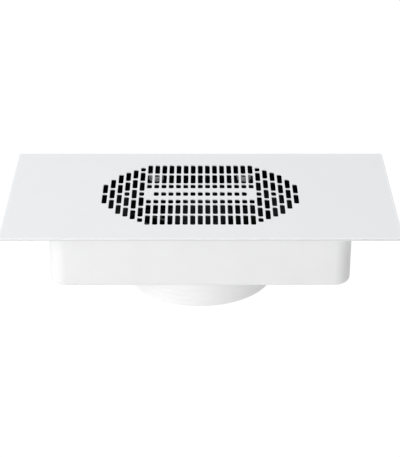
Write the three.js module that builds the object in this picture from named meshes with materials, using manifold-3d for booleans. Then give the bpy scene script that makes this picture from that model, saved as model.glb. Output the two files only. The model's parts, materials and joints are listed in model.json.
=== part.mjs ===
// Bathroom extractor fan for a 100 mm duct.
// Millimetres. +Z points out of the front panel into the room, +X runs along the panel's long side,
// and the origin is the centre of the duct spigot's open end. Air goes in at the grille, towards -Z.

import * as THREE from "three";
import { mergeGeometries, mergeVertices } from "three/addons/utils/BufferGeometryUtils.js";
import Module from "manifold-3d";

const wasm = await Module();
wasm.setup();

// ---------------------------------------------------------------- driving dimensions

const GAP = 0.3; // left between pieces that touch
const WALL = 2; // moulded walls of the housing

// Duct spigot, sized for a 100 mm duct
const SPIGOT_LENGTH = 18;
const SPIGOT_RADIUS = 49.05;
const SPIGOT_BORE_RADIUS = 47;
const SPIGOT_FLANGE_RADIUS = 52;
const SPIGOT_FLANGE = 1.4;
const GRIP_RINGS = 4;
const GRIP_RING_PITCH = 3.4;
const GRIP_RING_HEIGHT = 0.35;

// Housing
const HOUSING_WIDTH = 190;
const HOUSING_DEPTH = 110;
const HOUSING_HEIGHT = 36.7;
const HOUSING_CORNER = 10.5;
const HOUSING_EDGE_RADIUS = 3.3;
const WALL_HOLE_RADIUS = 2.6;
const CABLE_HOLE_RADIUS = 5.4;
const POST_RADIUS = 3.5;
const STANDOFF_RADIUS = 3;
const PILOT_RADIUS = 1.5; // holes that the screws cut their threads in
const SCREW_HOLE_RADIUS = 1.7;

// Tray of the inlet shroud, and the carrier that covers its rim
const TRAY_WIDTH = 184.8;
const TRAY_DEPTH = 104.8;
const TRAY_CORNER = 8;
const TRAY_WALL = 1.5;
const CARRIER_OPENING_WIDTH = 142;
const CARRIER_OPENING_DEPTH = 96;
const CARRIER_OPENING_CORNER = 6;
const TAPE_X = 81;
const TAPE_WIDTH = 14;
const TAPE_LENGTH = 84;

// Snap pins and their sockets
const CLIP_RADIUS = 5.2;
const CLIP_BORE_RADIUS = 2.9;
const SNAP_PIN_RADIUS = 2;
const SNAP_BARB_RADIUS = 2.35;
const SNAP_ARM_WIDTH = 9.6;

// Front panel and its grille
const PANEL_WIDTH = 250;
const PANEL_DEPTH = 127;
const PANEL_THICKNESS = 1.5;
const PANEL_CORNER = 1.5;
const GRILLE_THICKNESS = 0.6; // the sheet is thinned from behind where it has slots
const GRILLE_WIDTH = 132;
const GRILLE_DEPTH = 92;
const GRILLE_CORNER = 6;
const COLUMN_PITCH = 4.78;
const ROW_PITCH = 7.45;
const SLOT_WIDTH = 3.25;
const SLOT_WEB = 1.5;
const LAST_COLUMN = 13;
const TALL_COLUMNS = 7; // columns out to this one have the full height
const CENTRE_SLOT_COLUMNS = 6; // columns out to this one have a short slot in the middle band

// Air moving parts
const RING_BORE_RADIUS = 46.6;
const RING_RADIUS = 49.5;
const BLADE_TIP_RADIUS = 45.8;
const BLADES = 7;
const ROOT_CHORD = 15.5;
const TIP_CHORD = 27;
const ROOT_PITCH = 46; // degrees from the plane of rotation
const TIP_PITCH = 26;
const TIP_SWEEP = 14; // degrees that the tip trails the root
const BLADE_BOW = 0.07; // of the chord
const HUB_RADIUS = 21.3;
const STRUTS = 5;
const SHAFT_RADIUS = 1.5;
const SHAFT_FIT_RADIUS = 1.6; // holes that the shaft passes through
const MOTOR_CUP_RADIUS = 19;
const EAR_RADIUS = 4.6;
const CHANNEL_WIDTH = 3.8; // for the motor's leads, along the first strut

// Backdraught shutter
const PIN_RADIUS = 1;
const PIN_HEIGHT = 10.8;
const FLAP_RADIUS = 46.2;
const FLAP_THICKNESS = 1.3;
const FLAP_LIFT = 2.3; // underside of a closed flap above the pin's axis
const FLAP_EDGE = 0.4; // straight edge of a closed flap from the pin's axis
const KNUCKLE_RADIUS = 2;
const KNUCKLE_BORE_RADIUS = 1.15;
const KNUCKLE_LENGTH = 8;
const SPRING_START = 32;
const SPRING_RADIUS = 1.5;
const SPRING_WIRE_RADIUS = 0.25;
const SPRING_PITCH = 1.1;
const SPRING_TURNS = 3.5;

// Places of fixings, from the middle of the part
const CLIP_X = 30;
const CLIP_Y = 46.2;
const FAN_FIXING = 41;
const POST_X = 84;
const POST_Y = 44;
const WALL_HOLE_X = 66;
const WALL_HOLE_Y = 45;
const TERMINAL_X = -74;
const CABLE_Y = -36;
const CLAMP_Y = -20;
const CLAMP_FIXING = 9; // either side of TERMINAL_X
const BOARD_X = 75;
const BOARD_FIXING_Y = 29;

// Sections of a blade from root to tip, and points along each section's chord
const BLADE_STATIONS = 4;
const BLADE_POINTS = 4;

// Sides of the polygons that stand for circles
const LARGE_ROUND = 36;
const MOTOR_ROUND = 24;
const MEDIUM_ROUND = 16;
const SMALL_ROUND = 8;

// ---------------------------------------------------------------- levels along Z

const FLOOR_BACK = SPIGOT_LENGTH;
const FLOOR_TOP = FLOOR_BACK + WALL;
const RIM_TOP = FLOOR_BACK + HOUSING_HEIGHT;
const PANEL_BACK = RIM_TOP + GAP;
const PANEL_FRONT = PANEL_BACK + PANEL_THICKNESS;
const GASKET_BASE = FLOOR_TOP + 0.2;
const GASKET_TOP = GASKET_BASE + 0.8;
const FLANGE_BASE = GASKET_TOP + 0.2;
const FRAME_BASE = FLANGE_BASE + SPIGOT_FLANGE + 0.2;
const FRAME_TOP = 44;
const STRUT_TOP = FRAME_BASE + 3.8;
const BOSS_TOP = FLOOR_TOP + 5;
const EAR_BASE = BOSS_TOP + GAP;
const EAR_TOP = EAR_BASE + 3;
const SHROUD_BASE = FRAME_TOP + GAP;
const SHROUD_TOP = SHROUD_BASE + 1.7;
const SHROUD_RIM = 51.3;
const SNAP_TIP = 41;
const CLIP_BASE = 36;
const CLIP_TOP = SHROUD_TOP + 2.4;
const CARRIER_BASE = SHROUD_RIM + GAP;
const CARRIER_TOP = CARRIER_BASE + 2.2;
const HUB_BASE = 27.6;
const HUB_TOP = 42.5;
const BLADE_MIDDLE = 35.4;
const STATOR_BASE = 29;
const STATOR_TOP = 37;
const BOARD_BASE = 26;
const BOARD_TOP = BOARD_BASE + 1.6;
const CLAMP_BASE = FLOOR_TOP + 4.3;
const FLAP_BASE = PIN_HEIGHT + FLAP_LIFT;
const CHANNEL_BASE = FRAME_BASE + 1.2;

// ---------------------------------------------------------------- materials

function finish(colour, roughness, metalness = 0) {
  return new THREE.MeshStandardMaterial({ color: colour, roughness, metalness });
}

const FINISHES = {
  coatedSheet: finish(0xe8e9eb, 0.38),
  whitePlastic: finish(0xebebec, 0.32),
  blackPlastic: finish(0x0c0c0d, 0.55),
  greyPlastic: finish(0xb9bcc0, 0.45),
  rubber: finish(0x1b1b1c, 0.85),
  foam: finish(0x2a2a2c, 0.95),
  steel: finish(0xb4b6b9, 0.32, 1),
  zincSteel: finish(0xc3c4c0, 0.38, 1),
  magnet: finish(0x2f3033, 0.6, 0.4),
  lamination: finish(0x63666a, 0.5, 0.9),
  copper: finish(0xb5622f, 0.35, 1),
  brass: finish(0xc7a24c, 0.3, 1),
  board: finish(0x1d5a38, 0.5),
  capacitorSleeve: finish(0x1f2c5c, 0.4),
  bobbin: finish(0xd8c46a, 0.45),
  brownSleeve: finish(0x6b3d22, 0.5),
  blueSleeve: finish(0x2a4f9c, 0.5),
  redSleeve: finish(0xa8201c, 0.5),
  blackSleeve: finish(0x151515, 0.5),
};

// ---------------------------------------------------------------- solids

// A closed geometry as a solid that can be cut and joined.
function solid(geometry) {
  const bare = geometry.clone();
  bare.deleteAttribute("normal");
  bare.deleteAttribute("uv");
  const merged = mergeVertices(bare, 1e-4);
  return new wasm.Manifold(
    new wasm.Mesh({
      numProp: 3,
      vertProperties: new Float32Array(merged.attributes.position.array),
      triVerts: new Uint32Array(merged.index.array),
    }),
  );
}

function shapeOf(body) {
  const mesh = body.getMesh();
  const geometry = new THREE.BufferGeometry();
  geometry.setAttribute("position", new THREE.BufferAttribute(mesh.vertProperties, 3));
  geometry.setIndex(new THREE.BufferAttribute(mesh.triVerts, 1));
  const flat = geometry.toNonIndexed();
  flat.computeVertexNormals();
  return flat;
}

function joined(...geometries) {
  return geometries.map(solid).reduce((whole, next) => whole.add(next));
}

function cut(whole, ...geometries) {
  return geometries.map(solid).reduce((left, next) => left.subtract(next), whole);
}

// A box from its low and high corners.
function box(x0, x1, y0, y1, z0, z1) {
  const geometry = new THREE.BoxGeometry(x1 - x0, y1 - y0, z1 - z0);
  return geometry.translate((x0 + x1) / 2, (y0 + y1) / 2, (z0 + z1) / 2);
}

// A cylinder along Z.
function rod(x, y, radius, z0, z1, sides = 12) {
  const geometry = new THREE.CylinderGeometry(radius, radius, z1 - z0, sides);
  return geometry.rotateX(Math.PI / 2).translate(x, y, (z0 + z1) / 2);
}

// A cylinder along X.
function crossRod(y, z, radius, x0, x1, sides = 12) {
  const geometry = new THREE.CylinderGeometry(radius, radius, x1 - x0, sides);
  return geometry.rotateZ(Math.PI / 2).translate((x0 + x1) / 2, y, z);
}

// A solid of revolution about Z from [radius, height] points. A profile off the axis closes on itself.
function turned(profile, sides = LARGE_ROUND) {
  const points = profile.map(([r, z]) => new THREE.Vector2(r, z));
  if (THREE.ShapeUtils.area(points) < 0) points.reverse();
  const onAxis = points.filter((p) => p.x === 0).length > 1;
  if (onAxis) {
    while (points[0].x !== 0 || points[points.length - 1].x !== 0) points.push(points.shift());
  } else {
    points.push(points[0].clone());
  }
  return new THREE.LatheGeometry(points, sides).rotateX(Math.PI / 2);
}

function ring(innerRadius, outerRadius, z0, z1, sides = LARGE_ROUND) {
  return turned([[innerRadius, z0], [outerRadius, z0], [outerRadius, z1], [innerRadius, z1]], sides);
}

function roundedRectangle(width, depth, radius) {
  const x = width / 2 - radius;
  const y = depth / 2 - radius;
  const shape = new THREE.Shape();
  shape.absarc(x, -y, radius, -Math.PI / 2, 0);
  shape.absarc(x, y, radius, 0, Math.PI / 2);
  shape.absarc(-x, y, radius, Math.PI / 2, Math.PI);
  shape.absarc(-x, -y, radius, Math.PI, 1.5 * Math.PI);
  return shape;
}

// A shape drawn in X and Y, raised from z0 to z1.
function raised(shape, z0, z1, curveSegments = 2) {
  const settings = { depth: z1 - z0, bevelEnabled: false, curveSegments };
  return new THREE.ExtrudeGeometry(shape, settings).translate(0, 0, z0);
}

// A skin over closed loops of points, with an end face on the first and last loop. The two halves of
// each loop are split along matching diagonals, so that a thin twisted blade keeps its thickness.
function lofted(loops) {
  const count = loops[0].length;
  const faces = [];
  const quad = (a, b, c, d) => faces.push(a, b, c, a, c, d);
  const matchingQuad = (a, b, c, d) => faces.push(a, b, d, b, c, d);
  for (let k = 0; k + 1 < loops.length; k++) {
    for (let i = 0; i < count; i++) {
      const next = (i + 1) % count;
      const split = i < count / 2 ? quad : matchingQuad;
      split(k * count + i, k * count + next, (k + 1) * count + next, (k + 1) * count + i);
    }
  }
  const last = (loops.length - 1) * count;
  for (let i = 0; i + 1 < count / 2; i++) {
    const mate = count - 1 - i;
    quad(mate, mate - 1, i + 1, i);
    quad(last + i, last + i + 1, last + mate - 1, last + mate);
  }
  const geometry = new THREE.BufferGeometry();
  const positions = loops.flat().flatMap((p) => p.toArray());
  geometry.setAttribute("position", new THREE.Float32BufferAttribute(positions, 3));
  geometry.setIndex(faces);
  return geometry;
}

// A round bar that follows a smooth line through points.
function wire(points, radius, steps, sides = 6) {
  const section = new THREE.Shape();
  for (let i = 0; i < sides; i++) {
    const turn = (2 * Math.PI * i) / sides;
    const put = i === 0 ? "moveTo" : "lineTo";
    section[put](radius * Math.cos(turn), radius * Math.sin(turn));
  }
  const line = new THREE.CatmullRomCurve3(points.map((p) => new THREE.Vector3(...p)));
  return new THREE.ExtrudeGeometry(section, { steps, extrudePath: line, bevelEnabled: false });
}

const fan = new THREE.Group();

function piece(name, body, material) {
  const geometry = body.isBufferGeometry ? body : shapeOf(body);
  const mesh = new THREE.Mesh(geometry, material.clone());
  mesh.name = name;
  fan.add(mesh);
  return mesh;
}

// A low and a high value, whichever way round they are given.
function ordered(a, b) {
  return a < b ? [a, b] : [b, a];
}

// The four corners of a rectangle centred on the part, front left first.
function corners(x, y) {
  return [[-x, -y], [x, -y], [x, y], [-x, y]];
}

// ---------------------------------------------------------------- fasteners

// A pan-head screw with a slot, its head seated at the given height and its tip down.
function screw(name, x, y, seat, { headRadius = 2.8, shankRadius = 1.3, length = 8 } = {}) {
  const head = headRadius * 0.7;
  const profile = [
    [0, seat - length],
    [shankRadius, seat - length],
    [shankRadius, seat],
    [headRadius, seat],
    [headRadius * 0.8, seat + head],
    [0, seat + head],
  ];
  const slotHalf = headRadius * 0.14;
  const slot = box(-headRadius, headRadius, -slotHalf, slotHalf, seat + head * 0.6, seat + head + 1);
  const body = cut(solid(turned(profile, SMALL_ROUND)), slot);
  const mesh = piece(name, body, FINISHES.zincSteel);
  mesh.position.set(x, y, 0);
}

// ---------------------------------------------------------------- front panel

// How far a column of slots reaches from the middle, in row pitches.
function columnReach(column) {
  if (column <= TALL_COLUMNS) return 6;
  return column <= 11 ? 6 - (column - TALL_COLUMNS) / 2 : 15 - column;
}

// Half the length of a column's middle slot, in row pitches. The bricks start from there.
function columnPhase(column) {
  if (column <= TALL_COLUMNS) return 0;
  return column <= 11 ? 1 - Math.abs(1 - (column - TALL_COLUMNS) / 2) : (column - 11) % 2;
}

// [low, high] ends of the slots of one column, in row pitches.
function columnSlots(column) {
  const spans = [];
  const reach = columnReach(column);
  const phase = columnPhase(column);
  if (phase > 0) spans.push([-phase, phase]);
  if (column <= CENTRE_SLOT_COLUMNS) spans.push([-0.5, 0.5]);
  for (let low = phase; low < reach; low += 2) {
    const start = column <= TALL_COLUMNS ? Math.max(low, 1) : low;
    const end = Math.min(low + 2, reach);
    spans.push([start, end], [-end, -start]);
  }
  return spans;
}

function frontPanel() {
  const sheet = roundedRectangle(PANEL_WIDTH, PANEL_DEPTH, PANEL_CORNER);
  const slots = [];
  for (let column = -LAST_COLUMN; column <= LAST_COLUMN; column++) {
    const x = column * COLUMN_PITCH;
    for (const [low, high] of columnSlots(Math.abs(column))) {
      const y0 = low * ROW_PITCH + SLOT_WEB / 2;
      const y1 = high * ROW_PITCH - SLOT_WEB / 2;
      slots.push(box(x - SLOT_WIDTH / 2, x + SLOT_WIDTH / 2, y0, y1, PANEL_BACK - 1, PANEL_FRONT + 1));
    }
  }
  const grille = roundedRectangle(GRILLE_WIDTH, GRILLE_DEPTH, GRILLE_CORNER);
  const relief = raised(grille, PANEL_BACK - 1, PANEL_FRONT - GRILLE_THICKNESS);
  const body = cut(solid(raised(sheet, PANEL_BACK, PANEL_FRONT)), relief, mergeGeometries(slots));
  piece("front_panel", body, FINISHES.coatedSheet);
}

// A snap pin that stands in a clip socket, on a shouldered arm that reaches in from the carrier.
function snapPin(x, y) {
  const out = Math.sign(y);
  const half = SNAP_ARM_WIDTH / 2;
  const pin = turned([
    [0, SNAP_TIP],
    [SNAP_BARB_RADIUS - 0.85, SNAP_TIP],
    [SNAP_BARB_RADIUS, SNAP_TIP + 1.4],
    [SNAP_BARB_RADIUS, SNAP_TIP + 2],
    [SNAP_PIN_RADIUS, SNAP_TIP + 2.8],
    [SNAP_PIN_RADIUS, CARRIER_BASE + 1],
    [0, CARRIER_BASE + 1],
  ], SMALL_ROUND);
  return [
    pin.translate(x, y, 0),
    box(x - half, x + half, ...ordered(y + out * 1.4, y + out * 4.6), CLIP_TOP + 0.5, CARRIER_BASE + 1),
    box(x - half, x + half, ...ordered(y - out * 2.6, y + out * 3), CARRIER_BASE, CARRIER_TOP),
  ];
}

function panelCarrier() {
  const frame = roundedRectangle(TRAY_WIDTH, TRAY_DEPTH, TRAY_CORNER);
  frame.holes.push(
    roundedRectangle(CARRIER_OPENING_WIDTH, CARRIER_OPENING_DEPTH, CARRIER_OPENING_CORNER),
  );
  const pins = corners(CLIP_X, CLIP_Y).flatMap(([x, y]) => snapPin(x, y));
  const body = joined(raised(frame, CARRIER_BASE, CARRIER_TOP), ...pins);
  piece("panel_carrier", body, FINISHES.blackPlastic);
  adhesiveStrip("adhesive_strip_left", -TAPE_X);
  adhesiveStrip("adhesive_strip_right", TAPE_X);
}

// Foam tape that holds the panel on its carrier.
function adhesiveStrip(name, x) {
  const half = TAPE_WIDTH / 2;
  const end = TAPE_LENGTH / 2;
  piece(name, box(x - half, x + half, -end, end, CARRIER_TOP + 0.2, PANEL_BACK - 0.2), FINISHES.foam);
}

// ---------------------------------------------------------------- housing

// The outline of the housing drawn in from its sides, at one height.
function housingLoop(inset, z) {
  const radius = Math.max(HOUSING_CORNER - inset, 1);
  const outline = roundedRectangle(HOUSING_WIDTH - 2 * inset, HOUSING_DEPTH - 2 * inset, radius);
  const points = outline.extractPoints(3).shape;
  if (points[0].distanceTo(points[points.length - 1]) < 1e-6) points.pop();
  return points.map((p) => new THREE.Vector3(p.x, p.y, z));
}

function housingShell() {
  const loops = [];
  const steps = 3;
  for (let i = 0; i <= steps; i++) {
    const turn = (i / steps) * (Math.PI / 2);
    const inset = HOUSING_EDGE_RADIUS * (1 - Math.sin(turn));
    loops.push(housingLoop(inset, FLOOR_BACK + HOUSING_EDGE_RADIUS * (1 - Math.cos(turn))));
  }
  loops.push(housingLoop(0, RIM_TOP));
  const hollow = [housingLoop(WALL, FLOOR_TOP), housingLoop(WALL, RIM_TOP + 5)];
  return cut(solid(lofted(loops)), lofted(hollow));
}

// A round socket for a snap pin, held off the long wall by a rib.
function clipSocket(x, y) {
  const out = Math.sign(y);
  const [y0, y1] = ordered(y + out * 3.5, out * (HOUSING_DEPTH / 2 - WALL + 0.5));
  return [
    rod(x, y, CLIP_RADIUS, CLIP_BASE, CLIP_TOP, MEDIUM_ROUND),
    box(x - 2.5, x + 2.5, y0, y1, CLIP_BASE, SHROUD_BASE - GAP),
  ];
}

// A post with a screw's pilot hole of the given depth down its middle.
function screwPost(body, x, y, radius, top, depth) {
  const post = solid(rod(x, y, radius, FLOOR_TOP - 1, top));
  return cut(body.add(post), rod(x, y, PILOT_RADIUS, top - depth, top + 1, SMALL_ROUND));
}

// The round of the supply cable, where the clamp holds it.
function cableSaddle() {
  const saddle = rod(0, 0, 3.5, -6, 6, MEDIUM_ROUND).rotateX(Math.PI / 2);
  return saddle.translate(TERMINAL_X, CLAMP_Y, FLOOR_TOP + 5.6);
}

function clampBase(body) {
  const base = box(TERMINAL_X - 13, TERMINAL_X + 13, CLAMP_Y - 4, CLAMP_Y + 4, FLOOR_TOP - 1, FLOOR_TOP + 4);
  const pilots = [-CLAMP_FIXING, CLAMP_FIXING].map((x) =>
    rod(TERMINAL_X + x, CLAMP_Y, PILOT_RADIUS, FLOOR_TOP - 1, FLOOR_TOP + 5, SMALL_ROUND),
  );
  return cut(body.add(solid(base)), ...pilots, cableSaddle());
}

function housing() {
  let body = housingShell();
  for (const [x, y] of corners(CLIP_X, CLIP_Y)) {
    body = body.add(joined(...clipSocket(x, y)));
    body = cut(body, rod(x, y, CLIP_BORE_RADIUS, CLIP_BASE - 1, CLIP_TOP + 1));
  }
  for (const [x, y] of corners(FAN_FIXING, FAN_FIXING)) {
    body = screwPost(body, x, y, POST_RADIUS, BOSS_TOP, 6);
  }
  for (const [x, y] of corners(POST_X, POST_Y)) {
    body = screwPost(body, x, y, POST_RADIUS, SHROUD_BASE - GAP, 8.7);
  }
  for (const y of [-BOARD_FIXING_Y, BOARD_FIXING_Y]) {
    body = screwPost(body, BOARD_X, y, STANDOFF_RADIUS, BOARD_BASE - GAP, 6.7);
  }
  body = clampBase(body);
  const through = (x, y, radius, sides) => rod(x, y, radius, FLOOR_BACK - 2, FLOOR_TOP + 1, sides);
  const wallHoles = corners(WALL_HOLE_X, WALL_HOLE_Y).map(([x, y]) => through(x, y, WALL_HOLE_RADIUS));
  const cableHole = through(TERMINAL_X, CABLE_Y, CABLE_HOLE_RADIUS, MEDIUM_ROUND);
  const spigotHole = through(0, 0, SPIGOT_RADIUS + 0.5, LARGE_ROUND);
  piece("housing", cut(body, ...wallHoles, cableHole, spigotHole), FINISHES.whitePlastic);
}

// ---------------------------------------------------------------- duct spigot

// The bore from the open end up, with the ledge that the closed flaps lie under.
function spigotBore() {
  const seat = FLAP_BASE + FLAP_THICKNESS + GAP;
  const seatRadius = FLAP_RADIUS - 1.7;
  return [
    [SPIGOT_BORE_RADIUS, 0],
    [SPIGOT_BORE_RADIUS, seat],
    [seatRadius, seat],
    [seatRadius, FLOOR_BACK - 1.8],
    [SPIGOT_BORE_RADIUS, FLOOR_BACK - 0.6],
    [SPIGOT_BORE_RADIUS, FLANGE_BASE + SPIGOT_FLANGE],
  ];
}

// The outside from the chamfered open end up, over the sawtooth rings that grip the duct.
function spigotOutside() {
  const root = SPIGOT_RADIUS - GRIP_RING_HEIGHT;
  const points = [[SPIGOT_RADIUS - 0.8, 0]];
  for (let i = 0; i < GRIP_RINGS; i++) {
    const z = 1 + i * GRIP_RING_PITCH;
    points.push([SPIGOT_RADIUS, z], [root, z + GRIP_RING_PITCH - 0.6]);
  }
  points.push([root, FLANGE_BASE], [SPIGOT_FLANGE_RADIUS, FLANGE_BASE]);
  points.push([SPIGOT_FLANGE_RADIUS, FLANGE_BASE + SPIGOT_FLANGE]);
  return points;
}

function ductSpigot() {
  let body = solid(turned([...spigotOutside(), ...spigotBore().reverse()]));
  for (const side of [-1, 1]) {
    const boss = crossRod(0, PIN_HEIGHT, KNUCKLE_RADIUS, ...ordered(side * 42.5, side * 48));
    const bore = crossRod(0, PIN_HEIGHT, KNUCKLE_BORE_RADIUS, ...ordered(side * 42, side * 46.8));
    body = cut(body.add(solid(boss)), bore);
  }
  piece("duct_spigot", body, FINISHES.whitePlastic);
  const gasket = ring(SPIGOT_RADIUS + 0.25, SPIGOT_FLANGE_RADIUS, GASKET_BASE, GASKET_TOP);
  piece("spigot_gasket", gasket, FINISHES.rubber);
}

// ---------------------------------------------------------------- backdraught shutter

// The flap behind the pin. The front one is the same moulding turned half round.
function flapBody() {
  const half = new THREE.Shape();
  const start = Math.asin(FLAP_EDGE / FLAP_RADIUS);
  half.absarc(0, 0, FLAP_RADIUS, start, Math.PI - start);
  half.closePath();
  let body = solid(raised(half, FLAP_BASE, FLAP_BASE + FLAP_THICKNESS, 12));
  for (const x of [-30, 8]) {
    const end = x + KNUCKLE_LENGTH;
    const web = box(x, end, FLAP_EDGE, 2, PIN_HEIGHT, FLAP_BASE + 0.4);
    body = body.add(joined(crossRod(0, PIN_HEIGHT, KNUCKLE_RADIUS, x, end), web));
    body = cut(body, crossRod(0, PIN_HEIGHT, KNUCKLE_BORE_RADIUS, x - 1, end + 1));
  }
  const rib = box(-34, 34, 20, 21.4, FLAP_BASE - 1.2, FLAP_BASE + 0.4);
  return body.add(solid(rib));
}

// A torsion spring round the pin with its free leg under the flap.
function flapSpring() {
  const perTurn = 10;
  const points = [];
  for (let i = 0; i <= SPRING_TURNS * perTurn; i++) {
    const turn = (2 * Math.PI * i) / perTurn;
    const x = SPRING_START + (i / perTurn) * SPRING_PITCH;
    points.push([x, SPRING_RADIUS * Math.sin(turn), PIN_HEIGHT - SPRING_RADIUS * Math.cos(turn)]);
  }
  const leg = SPRING_START + SPRING_TURNS * SPRING_PITCH + 0.2;
  points.push([leg, 3, PIN_HEIGHT + 1.6], [leg, 6, PIN_HEIGHT + 1.7], [leg, 9, PIN_HEIGHT + 1.8]);
  return wire(points, SPRING_WIRE_RADIUS, 40, 4);
}

function shutter() {
  piece("flap_rear", flapBody(), FINISHES.whitePlastic);
  piece("flap_front", flapBody(), FINISHES.whitePlastic).rotation.z = Math.PI;
  piece("flap_spring_rear", flapSpring(), FINISHES.steel);
  piece("flap_spring_front", flapSpring(), FINISHES.steel).rotation.z = Math.PI;
  piece("flap_pin", crossRod(0, PIN_HEIGHT, PIN_RADIUS, -46.4, 46.4), FINISHES.steel);
}

// ---------------------------------------------------------------- fan frame and inlet shroud

// The motor's cup with the tube that the bearings stand in.
function motorCup() {
  const floor = FRAME_BASE + 1;
  const wall = MOTOR_CUP_RADIUS - 1.7;
  return turned([
    [0, FRAME_BASE],
    [MOTOR_CUP_RADIUS, FRAME_BASE],
    [MOTOR_CUP_RADIUS, STRUT_TOP],
    [wall, STRUT_TOP],
    [wall, floor],
    [6.4, floor],
    [6.4, 36],
    [5.2, 36],
    [5.2, floor],
    [0, floor],
  ]);
}

function fanFrame() {
  let body = joined(
    ring(RING_BORE_RADIUS, RING_RADIUS, FRAME_BASE, FRAME_TOP),
    ring(RING_BORE_RADIUS, SPIGOT_FLANGE_RADIUS - 0.5, FRAME_BASE, FRAME_BASE + 1.6),
    motorCup(),
  );
  for (let i = 0; i < STRUTS; i++) {
    const half = i === 0 ? 3.4 : 2.2;
    const strut = box(18.4, RING_BORE_RADIUS + 0.8, -half, half, FRAME_BASE, STRUT_TOP);
    body = body.add(solid(strut.rotateZ((2 * Math.PI * i) / STRUTS)));
  }
  for (const [x, y] of corners(FAN_FIXING, FAN_FIXING)) {
    const reach = Math.hypot(x, y);
    const web = box(RING_BORE_RADIUS + 1, reach, -3.6, 3.6, EAR_BASE, EAR_TOP).rotateZ(Math.atan2(y, x));
    body = body.add(joined(rod(x, y, EAR_RADIUS, EAR_BASE, EAR_TOP), web));
    body = cut(body, rod(x, y, SCREW_HOLE_RADIUS, EAR_BASE - 1, EAR_TOP + 1, SMALL_ROUND));
  }
  const half = CHANNEL_WIDTH / 2;
  const channel = box(16, SPIGOT_FLANGE_RADIUS + 1, -half, half, CHANNEL_BASE, STRUT_TOP + 0.4);
  piece("fan_frame", cut(body, channel), FINISHES.blackPlastic);
}

// The opening above the impeller, flared towards the room.
function bellMouth() {
  return turned([
    [0, SHROUD_BASE - 1],
    [46.8, SHROUD_BASE - 1],
    [46.8, SHROUD_BASE],
    [47.1, SHROUD_BASE + 0.9],
    [47.6, SHROUD_BASE + 1.4],
    [48.4, SHROUD_TOP],
    [48.4, SHROUD_TOP + 1],
    [0, SHROUD_TOP + 1],
  ]);
}

function inletShroud() {
  const outline = roundedRectangle(TRAY_WIDTH, TRAY_DEPTH, TRAY_CORNER);
  const inside = 2 * TRAY_WALL;
  const well = roundedRectangle(TRAY_WIDTH - inside, TRAY_DEPTH - inside, TRAY_CORNER - TRAY_WALL);
  const through = (x, y, radius, sides) => rod(x, y, radius, SHROUD_BASE - 1, CLIP_TOP + 1, sides);
  const body = cut(
    solid(raised(outline, SHROUD_BASE, SHROUD_RIM)),
    raised(well, SHROUD_TOP, SHROUD_RIM + 1),
    bellMouth(),
    ...corners(CLIP_X, CLIP_Y).map(([x, y]) => through(x, y, CLIP_RADIUS + 0.4, MEDIUM_ROUND)),
    ...corners(POST_X, POST_Y).map(([x, y]) => through(x, y, SCREW_HOLE_RADIUS, SMALL_ROUND)),
  );
  piece("inlet_shroud", body, FINISHES.blackPlastic);
}

// ---------------------------------------------------------------- impeller

// One section of a blade, wrapped on the cylinder of its radius. It rises towards its leading edge.
function bladeSection(share) {
  const radius = THREE.MathUtils.lerp(HUB_RADIUS - 1, BLADE_TIP_RADIUS, share);
  const chord = THREE.MathUtils.lerp(ROOT_CHORD, TIP_CHORD, share);
  const pitch = THREE.MathUtils.degToRad(THREE.MathUtils.lerp(ROOT_PITCH, TIP_PITCH, share));
  const sweep = THREE.MathUtils.degToRad(TIP_SWEEP) * share * share;
  const side = (way) => {
    const points = [];
    for (let i = 0; i < BLADE_POINTS; i++) {
      const along = i / (BLADE_POINTS - 1) - 0.5;
      const bow = BLADE_BOW * chord * (1 - 4 * along * along);
      const thickness = 0.3 + 0.6 * Math.sqrt(1 - 4 * along * along);
      const off = bow + way * thickness;
      const tangent = along * chord * Math.cos(pitch) - off * Math.sin(pitch);
      const height = along * chord * Math.sin(pitch) + off * Math.cos(pitch);
      const turn = tangent / radius + sweep;
      points.push(new THREE.Vector3(radius * Math.cos(turn), radius * Math.sin(turn), BLADE_MIDDLE + height));
    }
    return points;
  };
  return [...side(-1), ...side(1).reverse()];
}

// The cap over the motor, with the socket that the shaft is pressed into.
function hub() {
  const inside = HUB_RADIUS - 1.8;
  return turned([
    [inside, HUB_BASE],
    [HUB_RADIUS, HUB_BASE],
    [HUB_RADIUS, HUB_TOP - 0.7],
    [HUB_RADIUS - 0.7, HUB_TOP],
    [0, HUB_TOP],
    [0, HUB_TOP - 0.9],
    [SHAFT_FIT_RADIUS, HUB_TOP - 0.9],
    [SHAFT_FIT_RADIUS, HUB_TOP - 3.8],
    [3.6, HUB_TOP - 3.8],
    [3.6, HUB_TOP - 1.6],
    [inside, HUB_TOP - 1.6],
  ], 4 * BLADES);
}

function impeller() {
  const sections = [];
  for (let i = 0; i < BLADE_STATIONS; i++) sections.push(bladeSection(i / (BLADE_STATIONS - 1)));
  const blade = lofted(sections);
  let body = solid(hub());
  for (let i = 0; i < BLADES; i++) {
    body = body.add(solid(blade.clone().rotateZ((2 * Math.PI * i) / BLADES)));
  }
  piece("impeller", body, FINISHES.blackPlastic);
}

// ---------------------------------------------------------------- motor

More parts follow.
